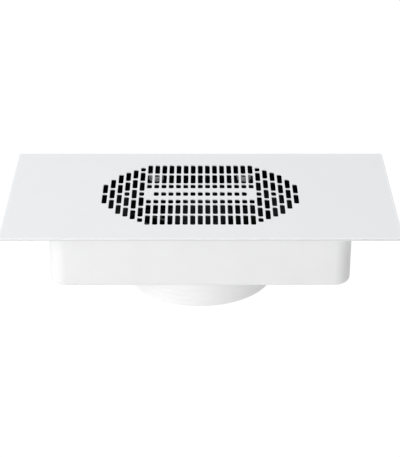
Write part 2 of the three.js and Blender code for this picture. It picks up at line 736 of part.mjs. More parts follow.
function motor() {
  const part = (name, profile, material) => piece(name, turned(profile, MOTOR_ROUND), material);
  const sleeve = (name, inner, outer, z0, z1, material) =>
    piece(name, ring(inner, outer, z0, z1, MOTOR_ROUND), material);
  part("rotor_cup", [[18.2, 28.6], [19.2, 28.6], [19.2, 40.6], [4, 40.6], [4, 39.6], [18.2, 39.6]],
    FINISHES.steel);
  sleeve("rotor_magnet", 16, 18, 28.9, 39.2, FINISHES.magnet);
  piece("motor_shaft", rod(0, 0, SHAFT_RADIUS, 24.3, 41.3, MOTOR_ROUND), FINISHES.steel);
  sleeve("shaft_clip", SHAFT_FIT_RADIUS, 2.8, 24.8, 25.3, FINISHES.steel);
  sleeve("bearing_lower", SHAFT_FIT_RADIUS, 4, 25.6, 29.6, FINISHES.steel);
  sleeve("bearing_upper", SHAFT_FIT_RADIUS, 4, 34.2, 38.2, FINISHES.steel);
  part("bearing_tube", [[4.1, 24.2], [5, 24.2], [5, 38.4], [4.1, 38.4], [4.1, 34], [3.2, 34],
    [3.2, 29.8], [4.1, 29.8]], FINISHES.brass);
  sleeve("motor_board", 6.7, 16.8, 26.6, 27.6, FINISHES.board);
  statorCore();
  for (let i = 0; i < 4; i++) statorCoil(i);
}

function statorCore() {
  const shoe = new THREE.Shape();
  const spread = THREE.MathUtils.degToRad(37);
  shoe.absarc(0, 0, 15.5, -spread, spread);
  shoe.absarc(0, 0, 13.7, spread, -spread, true);
  let body = solid(ring(6.6, 8.6, STATOR_BASE, STATOR_TOP, MOTOR_ROUND));
  for (let i = 0; i < 4; i++) {
    const turn = (i * Math.PI) / 2;
    const neck = box(8, 14.2, -2, 2, STATOR_BASE, STATOR_TOP).rotateZ(turn);
    body = body.add(joined(neck, raised(shoe, STATOR_BASE, STATOR_TOP, 3).rotateZ(turn)));
  }
  piece("stator_core", body, FINISHES.lamination);
}

// The winding round one pole of the stator.
function statorCoil(i) {
  const middle = (STATOR_BASE + STATOR_TOP) / 2;
  const outline = roundedRectangle(7.6, 9.9, 1.2);
  outline.holes.push(roundedRectangle(4.5, 8.5, 0.3));
  const coil = raised(outline, 8.9, 12.8, 1).rotateX(Math.PI / 2).rotateZ(Math.PI / 2);
  piece("stator_coil_" + (i + 1), coil.translate(0, 0, middle), FINISHES.copper)
    .rotation.z = (i * Math.PI) / 2;
}

// ---------------------------------------------------------------- electrical parts

function terminalBlock() {
  const x = TERMINAL_X;
  const poles = [-1, 9, 19];
  let block = solid(box(x - 8, x + 8, -6, 24, FLOOR_TOP + GAP, 34));
  for (const y of poles) {
    block = cut(block, rod(x, y, 2.4, 24, 35, SMALL_ROUND), crossRod(y, 26, 1.7, x - 9, x + 9, SMALL_ROUND));
  }
  for (const y of [4, 14]) block = cut(block, box(x - 9, x + 9, y - 0.6, y + 0.6, 31, 35));
  piece("terminal_block", block, FINISHES.greyPlastic);
  poles.forEach((y, i) => {
    screw("terminal_screw_" + (i + 1), x, y, 30, { headRadius: 1.9, shankRadius: 1.2, length: 3.2 });
  });
}

function cableClamp() {
  const [y0, y1] = [CLAMP_Y - 3.5, CLAMP_Y + 3.5];
  const bar = box(TERMINAL_X - 12.5, TERMINAL_X + 12.5, y0, y1, CLAMP_BASE, CLAMP_BASE + 2.4);
  const bridge = box(TERMINAL_X - 5, TERMINAL_X + 5, y0, y1, CLAMP_BASE + 1, CLAMP_BASE + 6);
  const fixings = [TERMINAL_X - CLAMP_FIXING, TERMINAL_X + CLAMP_FIXING];
  const holes = fixings.map((x) => rod(x, CLAMP_Y, SCREW_HOLE_RADIUS, 20, 30, SMALL_ROUND));
  piece("cable_clamp", cut(joined(bar, bridge), cableSaddle(), ...holes), FINISHES.whitePlastic);
  fixings.forEach((x, i) => {
    screw("clamp_screw_" + (i + 1), x, CLAMP_Y, CLAMP_BASE + 2.6, { headRadius: 2.6, length: 6.5 });
  });
}

// The sleeve that the supply cable comes in through, gripping the edge of its hole.
function cableGrommet() {
  const sleeve = turned([
    [3.6, FLOOR_BACK - 1],
    [7, FLOOR_BACK - 1],
    [7, FLOOR_BACK - 0.3],
    [5.1, FLOOR_BACK - 0.3],
    [5.1, FLOOR_TOP + 0.3],
    [7, FLOOR_TOP + 0.3],
    [7, FLOOR_TOP + 1.2],
    [5.2, FLOOR_TOP + 3],
    [3.6, FLOOR_TOP + 3],
  ], MEDIUM_ROUND);
  piece("cable_grommet", sleeve, FINISHES.rubber).position.set(TERMINAL_X, CABLE_Y, 0);
}

function controlBoard() {
  const x = BOARD_X;
  const onBoard = BOARD_TOP + 0.3;
  let board = solid(box(x - 15, x + 15, -34, 34, BOARD_BASE, BOARD_TOP));
  [-BOARD_FIXING_Y, BOARD_FIXING_Y].forEach((y, i) => {
    board = cut(board, rod(x, y, SCREW_HOLE_RADIUS, BOARD_BASE - 1, BOARD_TOP + 1, SMALL_ROUND));
    screw("board_screw_" + (i + 1), x, y, BOARD_TOP + 0.2, { headRadius: 2.6, length: 6.5 });
  });
  piece("control_board", board, FINISHES.board);
  const can = turned([[0, onBoard], [5, onBoard], [5, 39], [4.4, 39.8], [0, 39.8]], MEDIUM_ROUND);
  piece("board_capacitor", can, FINISHES.capacitorSleeve).position.set(x + 5, -8, 0);
  const core = box(-8, 8, -7, 7, onBoard, onBoard + 9);
  const winding = box(-5, 5, -8.4, 8.4, onBoard + 1, onBoard + 11.5);
  piece("board_transformer", joined(core, winding), FINISHES.bobbin).position.set(x + 2, 12, 0);
  const socket = (name, y, width, height) => {
    const half = width / 2;
    const shell = box(x - 13.5, x - 7, y - half, y + half, onBoard, onBoard + height);
    const mouth = box(x - 14, x - 11.5, y - half + 1, y + half - 1, onBoard + 1, onBoard + height - 1);
    piece(name, cut(solid(shell), mouth), FINISHES.greyPlastic);
  };
  socket("mains_connector", -20, 10, 6.5);
  socket("motor_connector", 0, 7, 5);
}

const LEAD_RADIUS = 0.6;

// A supply lead from a terminal, along the front wall under the clip sockets, to the board.
function supplyLead(name, startY, endY, z, material) {
  const wallY = -51.4;
  const points = [
    [TERMINAL_X + 6, startY, 26],
    [TERMINAL_X + 9.5, startY, 26],
    [-57, startY - 8, 27.5],
    [-55.5, -28, z],
    [-50, -43, z],
    [-38, wallY + 0.4, z],
    [-28, wallY, z],
    [0, wallY, z],
    [28, wallY, z],
    [38, wallY + 0.4, z],
    [50, -43, z],
    [56, -31, z],
    [BOARD_X - 16.5, endY, 31.2],
    [BOARD_X - 12, endY, 31.2],
  ];
  piece(name, wire(points, LEAD_RADIUS, 26, 5), material);
}

// A motor lead from the board, along the channel in the first strut, to the motor's board.
function motorLead(name, y, material) {
  const z = CHANNEL_BASE + 0.2 + LEAD_RADIUS;
  const points = [
    [BOARD_X - 12, y, 30.4],
    [BOARD_X - 16, y, 30.2],
    [BOARD_X - 20, y, 27],
    [BOARD_X - 24, y, z],
    [44, y, z],
    [30, y, z],
    [16, y, z],
    [13, y, z + 0.2],
    [11.5, y, z + 0.5],
  ];
  piece(name, wire(points, LEAD_RADIUS, 16, 5), material);
}

function leads() {
  supplyLead("lead_live", -1, -22, 30.6, FINISHES.brownSleeve);
  supplyLead("lead_neutral", 9, -18, 33, FINISHES.blueSleeve);
  motorLead("lead_motor_1", -0.85, FINISHES.redSleeve);
  motorLead("lead_motor_2", 0.85, FINISHES.blackSleeve);
}

// ---------------------------------------------------------------- assembly

frontPanel();
panelCarrier();
housing();
ductSpigot();
shutter();
fanFrame();
inletShroud();
impeller();
motor();
terminalBlock();
cableClamp();
cableGrommet();
controlBoard();
leads();
corners(FAN_FIXING, FAN_FIXING).forEach(([x, y], i) => screw("fan_screw_" + (i + 1), x, y, EAR_TOP + 0.2));
corners(POST_X, POST_Y).forEach(([x, y], i) => screw("shroud_screw_" + (i + 1), x, y, SHROUD_TOP + 0.2));

export default fan;
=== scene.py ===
import json
import math

import bmesh
import bpy
from mathutils import Matrix, Vector
from mathutils.geometry import delaunay_2d_cdt

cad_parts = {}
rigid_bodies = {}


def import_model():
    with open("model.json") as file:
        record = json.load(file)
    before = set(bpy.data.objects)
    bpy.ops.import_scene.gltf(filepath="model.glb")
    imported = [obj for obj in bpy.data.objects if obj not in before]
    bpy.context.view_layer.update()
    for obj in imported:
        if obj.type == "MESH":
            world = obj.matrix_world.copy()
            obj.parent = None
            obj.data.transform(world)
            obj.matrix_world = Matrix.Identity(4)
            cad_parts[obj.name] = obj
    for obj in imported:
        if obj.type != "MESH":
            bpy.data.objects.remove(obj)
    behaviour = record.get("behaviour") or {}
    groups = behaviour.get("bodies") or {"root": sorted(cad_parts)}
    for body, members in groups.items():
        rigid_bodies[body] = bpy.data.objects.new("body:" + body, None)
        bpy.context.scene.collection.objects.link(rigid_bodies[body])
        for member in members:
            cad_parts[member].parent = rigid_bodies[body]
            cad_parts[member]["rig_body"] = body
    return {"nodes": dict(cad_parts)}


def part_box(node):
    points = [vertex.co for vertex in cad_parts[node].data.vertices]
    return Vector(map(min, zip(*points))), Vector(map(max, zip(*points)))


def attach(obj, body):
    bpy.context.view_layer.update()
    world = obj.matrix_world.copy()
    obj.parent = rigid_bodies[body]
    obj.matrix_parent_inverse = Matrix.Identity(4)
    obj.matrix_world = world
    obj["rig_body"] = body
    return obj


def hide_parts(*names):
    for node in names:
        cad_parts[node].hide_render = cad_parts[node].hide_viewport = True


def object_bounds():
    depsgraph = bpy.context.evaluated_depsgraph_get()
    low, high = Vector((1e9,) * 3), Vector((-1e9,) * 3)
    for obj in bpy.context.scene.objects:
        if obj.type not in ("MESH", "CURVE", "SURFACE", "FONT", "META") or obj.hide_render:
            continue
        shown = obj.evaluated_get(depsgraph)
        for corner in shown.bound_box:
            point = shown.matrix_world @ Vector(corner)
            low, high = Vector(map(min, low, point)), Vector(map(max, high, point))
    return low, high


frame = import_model()
cad_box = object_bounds()

# Shapes are drawn in millimetres and scaled to metres when they are put on their bodies.
MM = 0.001


def low(node):
    """The lowest corner of a CAD node in millimetres."""
    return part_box(node)[0] / MM


def high(node):
    """The highest corner of a CAD node in millimetres."""
    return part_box(node)[1] / MM


def corners(x, y):
    """The four places that far either side of both axes."""
    return [(-x, -y), (x, -y), (x, y), (-x, y)]


# ---------------------------------------------------------------- sizes in millimetres

# Front panel and its grille. Reaches are in row pitches from the middle.
PANEL_CORNER = 1.5
PANEL_EDGE = 0.5
PANEL_UNDER_EDGE = 0.85
COLUMN_PITCH = 4.78
ROW_PITCH = 7.45
SLOT_WIDTH = 3.25
SLOT_WEB = 1.5
SLOT_CORNER = 1.1
SLOT_EDGE = 0.12
LAST_COLUMN = 13
TALL_COLUMNS = 7  # columns out to this one have the full height
SLANT_COLUMNS = 11  # columns out to this one follow the slanted sides
CENTRE_SLOT_COLUMNS = 6  # columns out to this one have a short slot in the middle band
TALL_REACH = 6
GRILLE_THICKNESS = 0.6  # the sheet is thinned from behind where it has slots
GRILLE_WIDTH = 132
GRILLE_DEPTH = 92

# Tray of the inlet shroud, and the carrier that covers its rim
TRAY = high("inlet_shroud") - low("inlet_shroud")
TRAY_CORNER = 8.0
TRAY_WALL = 1.5
CARRIER_THICKNESS = 2.2
CARRIER_OPENING = (142, 96, 6)  # width, depth and corner radius

# Snap pins and their sockets
CLIPS = corners(30, 46.2)
CLIP_BASE = 36
CLIP_TOP = 48.4
CLIP_RADIUS = 5.2
CLIP_BORE = 2.9
CLIP_MOUTH = 3.4
SNAP_PIN = 2
SNAP_BARB = 2.35
SNAP_ARM = 4.8  # half its width

# Housing
HOUSING = high("housing") - low("housing")
HOUSING_CORNER = 10.5
HOUSING_EDGE = 3.3
HOUSING_LIP = 0.35
HOUSING_FILLET = 1.3
WALL = 2.0
PILOT = 1.5  # holes that the screws cut their threads in
SCREW_HOLE = 1.7
FAN_FIXINGS = corners(41, 41)
SHROUD_FIXINGS = corners(84, 44)
BOARD_FIXINGS = [(75, -29), (75, 29)]
# Places, radius, top and depth of the screw's hole of each set of posts
POSTS = [(FAN_FIXINGS, 3.5, 25.0, 6.0), (SHROUD_FIXINGS, 3.5, 44.0, 8.7), (BOARD_FIXINGS, 3.0, 25.7, 6.7)]
WALL_HOLES = corners(66, 45)
WALL_HOLE = 2.6
CABLE_X = -74
CABLE_Y = -36
CABLE_HOLE = 5.4
DUCT_HOLE = 49.55
CLAMP_Y = -20
CLAMP_FIXING = 9  # either side of CABLE_X

# Duct spigot and shutter
SPIGOT_RADIUS = 49.05
SPIGOT_BORE = 47
FLANGE_RADIUS = 52
FLANGE_THICKNESS = 1.4
LEDGE_RADIUS = 44.5
GRIP_RINGS = 4
GRIP_PITCH = 3.4
GRIP_DEPTH = 0.35
PIN_RADIUS = 1
PIN_HEIGHT = 10.8
PIN_REACH = 46.4
KNUCKLE_RADIUS = 2
KNUCKLE_BORE = 1.15
KNUCKLE_LENGTH = 8
KNUCKLE_STARTS = (-30, 8)
FLAP_RADIUS = 46.2
FLAP_GAP = 0.4  # from the pin's axis to the straight edge of a closed flap
FLAP_LIFT = 2.3  # from the pin's axis to the underside of a closed flap
FLAP_THICKNESS = 1.3
SPRING_START = 32
SPRING_RADIUS = 1.5
SPRING_PITCH = 1.1
SPRING_TURNS = 3.5
SPRING_WIRE = 0.25

# Fan frame, impeller and motor
RING_BORE = 46.6
RING_RADIUS = 49.5
STRUTS = 5
STRUT_HEIGHT = 3.8
CUP_RADIUS = 19
EAR_BASE = 25.3
EAR_TOP = 28.3
EAR_RADIUS = 4.6
CHANNEL = 1.9  # half the width of the motor leads' channel in the first strut
BLADES = 7
BLADE_TIP = 45.8
ROOT_CHORD = 15.5
TIP_CHORD = 27
ROOT_PITCH = 46  # degrees from the plane of rotation
TIP_PITCH = 26
TIP_SWEEP = 14  # degrees that the tip trails the root
BLADE_BOW = 0.07  # of the chord
BLADE_MIDDLE = 35.4
HUB_RADIUS = 21.3
HUB_BASE = 27.6
HUB_TOP = 42.5
SHAFT_RADIUS = 1.5
SHAFT_FIT = 1.6  # holes that the shaft passes through
LEAD_RADIUS = 0.6

# ---------------------------------------------------------------- outlines and profiles

ROUND_STEPS = 3


def quarter(steps):
    """Angles from 0 to 90 degrees, in radians."""
    return [math.radians(90 * i / steps) for i in range(steps + 1)]


def rounded_rectangle(width, depth, radius, segments=6, x=0.0, y=0.0):
    """Points anticlockwise round a rectangle with arcs at its corners."""
    points = []
    for k, (side_x, side_y) in enumerate(((1, -1), (1, 1), (-1, 1), (-1, -1))):
        centre_x = x + side_x * (width / 2 - radius)
        centre_y = y + side_y * (depth / 2 - radius)
        for i in range(segments + 1):
            turn = math.radians(90 * (k - 1 + i / segments))
            points.append((centre_x + radius * math.cos(turn), centre_y + radius * math.sin(turn)))
    return points


def circle(x, y, radius, sides):
    """Points anticlockwise round a circle."""
    turns = [2 * math.pi * i / sides for i in range(sides)]
    return [(x + radius * math.cos(t), y + radius * math.sin(t)) for t in turns]


def softened(points, radius):
    """A closed line with its corners rounded. Points on the axis, where the first number is 0, stay."""
    result = []
    for i, corner in enumerate(points):
        here = Vector(corner)
        back = Vector(points[i - 1]) - here
        ahead = Vector(points[(i + 1) % len(points)]) - here
        straight = back.normalized().dot(ahead.normalized()) < -0.999
        if corner[0] == 0 or straight:
            result.append(tuple(corner))
            continue
        reach = min(radius, 0.45 * back.length, 0.45 * ahead.length)
        start = here + back.normalized() * reach
        end = here + ahead.normalized() * reach
        for k in range(ROUND_STEPS + 1):
            s = k / ROUND_STEPS
            result.append(tuple((1 - s) ** 2 * start + 2 * s * (1 - s) * here + s * s * end))
    return result


def rounded_ends(z0, z1, edge, top_edge=None):
    """(outset, height) pairs up the side of a block from z0 to z1, with its bottom and top edges rounded."""
    turns = quarter(ROUND_STEPS)
    top_edge = top_edge or edge
    lower = [(-edge * (1 - math.sin(t)), z0 + edge * (1 - math.cos(t))) for t in turns]
    upper = [(-top_edge * (1 - math.sin(t)), z1 - top_edge * (1 - math.cos(t))) for t in reversed(turns)]
    return lower + upper


# ---------------------------------------------------------------- meshes


def body_from(bm):
    """A temporary object with the closed mesh, its faces turned outwards."""
    bmesh.ops.remove_doubles(bm, verts=bm.verts, dist=1e-4)
    bmesh.ops.recalc_face_normals(bm, faces=bm.faces)
    mesh = bpy.data.meshes.new("body")
    bm.to_mesh(mesh)
    bm.free()
    obj = bpy.data.objects.new("body", mesh)
    bpy.context.scene.collection.objects.link(obj)
    return obj


def skin(bm, loops, caps=True):
    """Faces between neighbouring loops of points, and end faces on the first and last."""
    rows = [[bm.verts.new(p) for p in loop] for loop in loops]
    count = len(rows[0])
    for a, b in zip(rows, rows[1:]):
        for i in range(count):
            j = (i + 1) % count
            bm.faces.new((a[i], a[j], b[j], b[i]))
    if caps:
        bm.faces.new(rows[0])
        bm.faces.new(rows[-1])


def lofted(loops):
    """A closed body through loops of points."""
    bm = bmesh.new()
    skin(bm, loops)
    return body_from(bm)


def turned(profile, sides, round_to=0.0):
    """A body of revolution about Z from (radius, height) points."""
    if round_to:
        profile = softened(profile, round_to)
    bm = bmesh.new()
    rows = []
    for radius, z in profile:
        if radius < 1e-6:
            rows.append([bm.verts.new((0, 0, z))])
        else:
            rows.append([bm.verts.new((x, y, z)) for x, y in circle(0, 0, radius, sides)])
    for a, b in zip(rows, rows[1:] + rows[:1]):
        for i in range(sides):
            j = (i + 1) % sides
            if len(a) > 1 and len(b) > 1:
                bm.faces.new((a[i], a[j], b[j], b[i]))
            elif len(a) > 1:
                bm.faces.new((a[i], a[j], b[0]))
            elif len(b) > 1:
                bm.faces.new((a[0], b[j], b[i]))
    return body_from(bm)


def ring(inner, outer, z0, z1, sides, round_to):
    """A flat ring about Z with rounded rims."""
    return turned([(inner, z0), (outer, z0), (outer, z1), (inner, z1)], sides, round_to)


def raised(outline, z0, z1, edge):
    """A block from an outline that is a function of its outset, with rounded edges at both ends."""
    return lofted([[(x, y, z) for x, y in outline(outset)] for outset, z in rounded_ends(z0, z1, edge)])


def block(x0, x1, y0, y1, z0, z1, edge):
    """A box with all its edges rounded."""

    def outline(outset):
        width, depth = x1 - x0 + 2 * outset, y1 - y0 + 2 * outset
        radius = max(edge * 1.05 + outset, 0.02)
        return rounded_rectangle(width, depth, radius, 3, (x0 + x1) / 2, (y0 + y1) / 2)

    return raised(outline, z0, z1, edge)


def moved(obj, x, y, z=0.0):
    obj.data.transform(Matrix.Translation((x, y, z)))
    return obj


def turned_by(obj, degrees, axis="Z"):
    """A body turned about an axis through the origin."""
    obj.data.transform(Matrix.Rotation(math.radians(degrees), 4, axis))
    return obj


def rod(x, y, radius, z0, z1, sides, edge):
    """A cylinder along Z with rounded rims."""
    return moved(turned([(0, z0), (radius, z0), (radius, z1), (0, z1)], sides, edge), x, y)


def drill(x, y, radius, z0, z1, sides=24):
    """A plain cylinder along Z for cutting a hole."""
    return rod(x, y, radius, z0, z1, sides, 0.01)


def cross_rod(radius, x0, x1, edge):
    """A cylinder on the shutter pin's axis with rounded rims."""
    return moved(turned_by(rod(0, 0, radius, x0, x1, 32, edge), 90, "Y"), 0, 0, PIN_HEIGHT)


def boolean(base, tool, operation):
    """base with tool added to it or taken away. tool is used up."""
    modifier = base.modifiers.new("shape", "BOOLEAN")
    modifier.operation = operation
    modifier.solver = "MANIFOLD"
    modifier.object = tool
    graph = bpy.context.evaluated_depsgraph_get()
    mesh = bpy.data.meshes.new_from_object(base.evaluated_get(graph))
    base.modifiers.clear()
    spent = [base.data, tool.data]
    base.data = mesh
    bpy.data.objects.remove(tool)
    for old in spent:
        bpy.data.meshes.remove(old)
    return base


def joined(base, *others):
    for other in others:
        boolean(base, other, "UNION")
    return base


def cut(base, *tools):
    for tool in tools:
        boolean(base, tool, "DIFFERENCE")
    return base


def together(objects):
    """Separate bodies as one object, for a single cut."""
    bm = bmesh.new()
    for obj in objects:
        bm.from_mesh(obj.data)
        spent = obj.data
        bpy.data.objects.remove(obj)
        bpy.data.meshes.remove(spent)
    return body_from(bm)


def perforated(outline, holes, z0, z1, edge, hole_edge, top_edge=None):
    """A plate with holes. outline and each hole are functions of their outset, and every rim is rounded."""
    bm = bmesh.new()
    top_edge = top_edge or edge
    rims = [(outline, 1, rounded_ends(z0, z1, edge, top_edge))]
    rims += [(hole, -1, rounded_ends(z0, z1, hole_edge)) for hole in holes]
    for shape, way, steps in rims:
        skin(bm, [[(x, y, z) for x, y in shape(way * outset)] for outset, z in steps], caps=False)
    for z, rim in ((z0, edge), (z1, top_edge)):
        loops = [outline(-rim)] + [hole(hole_edge) for hole in holes]
        points = [Vector(p) for loop in loops for p in loop]
        faces, start = [], 0
        for loop in loops:
            faces.append(list(range(start, start + len(loop))))
            start += len(loop)
        flat, _, triangles, _, _, sources = delaunay_2d_cdt(points, [], faces, 1, 1e-6)
        verts = [bm.verts.new((p.x, p.y, z)) for p in flat]
        for triangle, source in zip(triangles, sources):
            if source == [0]:
                bm.faces.new([verts[i] for i in triangle])
    return body_from(bm)


def tube(points, radius, sides):
    """A round bar along a line of points."""
    curve = bpy.data.curves.new("line", "CURVE")
    curve.dimensions = "3D"
    curve.bevel_depth = radius
    curve.bevel_resolution = sides // 2 - 2
    curve.use_fill_caps = True
    spline = curve.splines.new("POLY")
    spline.points.add(len(points) - 1)
    for place, point in zip(spline.points, points):
        place.co = (*point, 1)
    line = bpy.data.objects.new("line", curve)
    bpy.context.scene.collection.objects.link(line)
    mesh = bpy.data.meshes.new_from_object(line.evaluated_get(bpy.context.evaluated_depsgraph_get()))
    bpy.data.objects.remove(line)
    bpy.data.curves.remove(curve)
    bm = bmesh.new()
    bm.from_mesh(mesh)
    bpy.data.meshes.remove(mesh)
    return body_from(bm)


def smooth_line(points):
    """Points along a Catmull-Rom line through the given ones."""
    per_span = 6
    places = [Vector(p) for p in points]
    places = [2 * places[0] - places[1]] + places + [2 * places[-1] - places[-2]]
    line = []
    for a, b, c, d in zip(places, places[1:], places[2:], places[3:]):
        for i in range(per_span):
            t = i / per_span
            bend = (2 * a - 5 * b + 4 * c - d) * t * t + (3 * b - a - 3 * c + d) * t ** 3
            line.append(0.5 * (2 * b + (c - a) * t + bend))
    return line + [places[-2]]


# ---------------------------------------------------------------- materials

# Painted light on the front panel's coating: a painted highlight along its rim and a painted shade under it
PAINTED_RIM_WIDTH = 1.4  # millimetres in from the sides
PAINTED_RIM_SPLIT = 1.25  # millimetres above the panel's back, where dark turns to bright
PAINTED_RIM_HIGHLIGHT = 0.09  # added to 1, as a factor for the colour
PAINTED_UNDER_RIM_SHADE = -0.11


def add_node(tree, kind, inputs=None, **settings):
    """A new shader node. An input that is given a socket is linked to it, and any other is set."""
    made = tree.nodes.new(kind)
    for key, value in settings.items():
        setattr(made, key, value)
    for key, value in (inputs or {}).items():
        if isinstance(value, bpy.types.NodeSocket):
            tree.links.new(value, made.inputs[key])
        else:
            made.inputs[key].default_value = value
    return made


def worked_out(tree, operation, *values):
    """The result of one step of arithmetic on numbers and sockets."""
    return add_node(tree, "ShaderNodeMath", dict(enumerate(values)), operation=operation).outputs["Value"]


class Look:
    """Builds one procedural material, measured in the object's own space in metres."""

    def __init__(self, roughness, metallic=0.0, specular=0.5):
        self.material = bpy.data.materials.new("look")
        self.material.use_nodes = True
        self.tree = self.material.node_tree
        self.shader = self.tree.nodes["Principled BSDF"]
        self.shader.inputs["Roughness"].default_value = roughness
        self.shader.inputs["Metallic"].default_value = metallic
        self.shader.inputs["Specular IOR Level"].default_value = specular
        self.roughness = roughness
        self.place = self.node("ShaderNodeTexCoord").outputs["Object"]
        self.normal = None

    def node(self, kind, inputs=None, **settings):
        return add_node(self.tree, kind, inputs, **settings)

    def along(self, axis):
        """The place along one axis."""
        return self.node("ShaderNodeSeparateXYZ", {"Vector": self.place}).outputs[axis]

    def stretched(self, scale):
        """The place with each axis scaled, for grain that runs one way."""
        return self.node("ShaderNodeMapping", {"Vector": self.place, "Scale": scale}).outputs["Vector"]

    def noise(self, size, detail=3.0, place=None):
        """Soft noise with features of about that size in metres."""
        inputs = {"Vector": place or self.place, "Scale": 1 / size, "Detail": detail, "Roughness": 0.55}
        return self.node("ShaderNodeTexNoise", inputs).outputs["Fac"]

    def cells(self, per_metre):
        """Distance to the middle of the nearest of many small cells."""
        inputs = {"Vector": self.place, "Scale": per_metre}
        return self.node("ShaderNodeTexVoronoi", inputs).outputs["Distance"]

    def between(self, value, a, b, first, last):
        """A value mapped from a..b onto first..last, and no further."""
        inputs = {"Value": value, "From Min": a, "From Max": b, "To Min": first, "To Max": last}
        return self.node("ShaderNodeMapRange", inputs).outputs["Result"]

    def colour(self, value, stops):
        """Colours along a value, as (position, red, green, blue) stops."""
        ramp = self.node("ShaderNodeValToRGB", {"Fac": value})
        elements = ramp.color_ramp.elements
        while len(elements) < len(stops):
            elements.new(0.5)
        for element, (position, *rgb) in zip(elements, stops):
            element.position = position
            element.color = (*rgb, 1)
        return ramp.outputs["Color"]

    def varied(self, rgb, spread, size):
        """A colour that varies softly either side of rgb."""
        dark = [c * (1 - spread) for c in rgb]
        light = [min(c * (1 + spread), 1) for c in rgb]
        return self.colour(self.noise(size), [(0.3, *dark), (0.7, *light)])

    def paint(self, colour):
        self.tree.links.new(colour, self.shader.inputs["Base Color"])
        return self

    def mottled(self, rgb, spread, size):
        """Base colour that varies softly either side of rgb."""
        return self.paint(self.varied(rgb, spread, size))

    def rough(self, spread, size):
        """Roughness that is mostly within spread of its own value. The noise seldom strays further."""
        reach = 2.5 * spread
        noise = self.noise(size)
        varied = self.between(noise, 0.0, 1.0, self.roughness - reach, self.roughness + reach)
        self.tree.links.new(varied, self.shader.inputs["Roughness"])
        return self

    def bump(self, value, depth, strength):
        """Relief of that depth in metres, on top of any relief so far."""
        inputs = {"Height": value, "Distance": depth, "Strength": strength}
        if self.normal is not None:
            inputs["Normal"] = self.normal
        self.normal = self.node("ShaderNodeBump", inputs).outputs["Normal"]
        self.tree.links.new(self.normal, self.shader.inputs["Normal"])
        return self


def painted_rim_light(look):
    """A factor for the coating's colour: above 1 along the panel's rim, which is a painted highlight, below
    1 under it, which is a painted shade, and 1 elsewhere.
    """
    lowest, highest = low("front_panel"), high("front_panel")
    sides = []
    for axis, reach in (("X", highest.x), ("Y", highest.y)):
        away = worked_out(look.tree, "ABSOLUTE", look.along(axis))
        start = reach - PAINTED_RIM_WIDTH
        sides.append(look.between(away, start * MM, (start + 0.2) * MM, 0.0, 1.0))
    split = lowest.z + PAINTED_RIM_SPLIT
    lower, upper = (split - 0.05) * MM, (split + 0.05) * MM
    # Painted shade below the split, painted highlight above it
    rim = look.between(look.along("Z"), lower, upper, PAINTED_UNDER_RIM_SHADE, PAINTED_RIM_HIGHLIGHT)
    return worked_out(look.tree, "MULTIPLY_ADD", worked_out(look.tree, "MAXIMUM", *sides), rim, 1.0)


def sprayed_coating():
    """White powder coating with a faint orange peel, and a painted highlight along its rim with a painted
    shade under it.
    """
    look = Look(0.36)
    # The coating's colour is scaled by the painted highlight and painted shade at the rim
    inputs = {"Vector": look.varied((0.80, 0.812, 0.828), 0.006, 0.03), "Scale": painted_rim_light(look)}
    look.paint(look.node("ShaderNodeVectorMath", inputs, operation="SCALE").outputs["Vector"])
    look.rough(0.03, 0.004)
    return look.bump(look.noise(0.0011, 2), 0.00002, 0.25).bump(look.noise(0.00018, 1), 0.000004, 0.3)


def moulded(rgb, roughness, spread=0.012):
    """Injection-moulded plastic: an even colour, faint flow marks and a fine grain."""
    look = Look(roughness).mottled(rgb, spread, 0.02).rough(0.012, 0.006)
    return look.bump(look.noise(0.006, 2), 0.00003, 0.12).bump(look.noise(0.0002, 2), 0.000006, 0.5)


def sparked_black_painted_shade():
    """Black plastic with the even grain of a spark-eroded mould. Its colour is the part's own black, made
    darker than plain black plastic as painted shade that keeps the inside under the grille black.
    """
    look = Look(0.62, specular=0.08).mottled((0.004, 0.004, 0.0042), 0.12, 0.015).rough(0.05, 0.003)
    return look.bump(look.cells(2600.0), 0.00003, 0.35)


def rubbery():
    """Black rubber with a matt, slightly uneven skin."""
    look = Look(0.78, specular=0.3).mottled((0.018, 0.018, 0.019), 0.15, 0.004).rough(0.06, 0.002)
    return look.bump(look.noise(0.0003, 3), 0.00004, 0.4)


def foamed():
    """Dark foam tape with open cells."""
    look = Look(0.95, specular=0.2).mottled((0.028, 0.028, 0.031), 0.2, 0.003)
    return look.bump(look.cells(2200.0), 0.0002, 0.7)


def metal(rgb, roughness, grain=(1.0, 1.0, 1.0), spread=0.05):
    """Bare metal with a fine grain stretched along one axis."""
    look = Look(roughness, metallic=1.0).mottled(rgb, spread, 0.004).rough(0.06, 0.0015)
    return look.bump(look.noise(0.0004, 2, look.stretched(grain)), 0.00001, 0.35)


def banded(rgb, dark, roughness, pitch, direction, metallic):
    """Thin layers along one axis: stacked sheets, or wire wound in a layer."""
    look = Look(roughness, metallic=metallic)
    # A wave texture of scale 1 repeats every pi / 10.
    inputs = {"Vector": look.place, "Scale": 2 * math.pi / (20 * pitch), "Distortion": 0.4, "Detail": 1.0}
    bands = look.node("ShaderNodeTexWave", inputs, bands_direction=direction).outputs["Fac"]
    look.paint(look.colour(bands, [(0.05, *dark), (0.45, *rgb), (1.0, *rgb)])).rough(0.05, 0.002)
    return look.bump(bands, 0.00012, 0.6)


def circuit_board():
    """Green solder mask over tracks."""
    look = Look(0.38)
    inputs = {
        "Vector": look.place,
        "Scale": 1.0,
        "Mortar Size": 0.00025,
        "Brick Width": 0.009,
        "Row Height": 0.0021,
        "Color1": (1, 1, 1, 1),
        "Color2": (0.75, 0.75, 0.75, 1),
        "Mortar": (0, 0, 0, 1),
    }
    tracks = look.node("ShaderNodeTexBrick", inputs).outputs["Color"]
    gaps, dull, bright = (0.006, 0.055, 0.022), (0.012, 0.12, 0.045), (0.016, 0.14, 0.05)
    look.paint(look.colour(tracks, [(0.1, *gaps), (0.75, *dull), (1.0, *bright)])).rough(0.05, 0.004)
    return look.bump(tracks, 0.00004, 0.5)


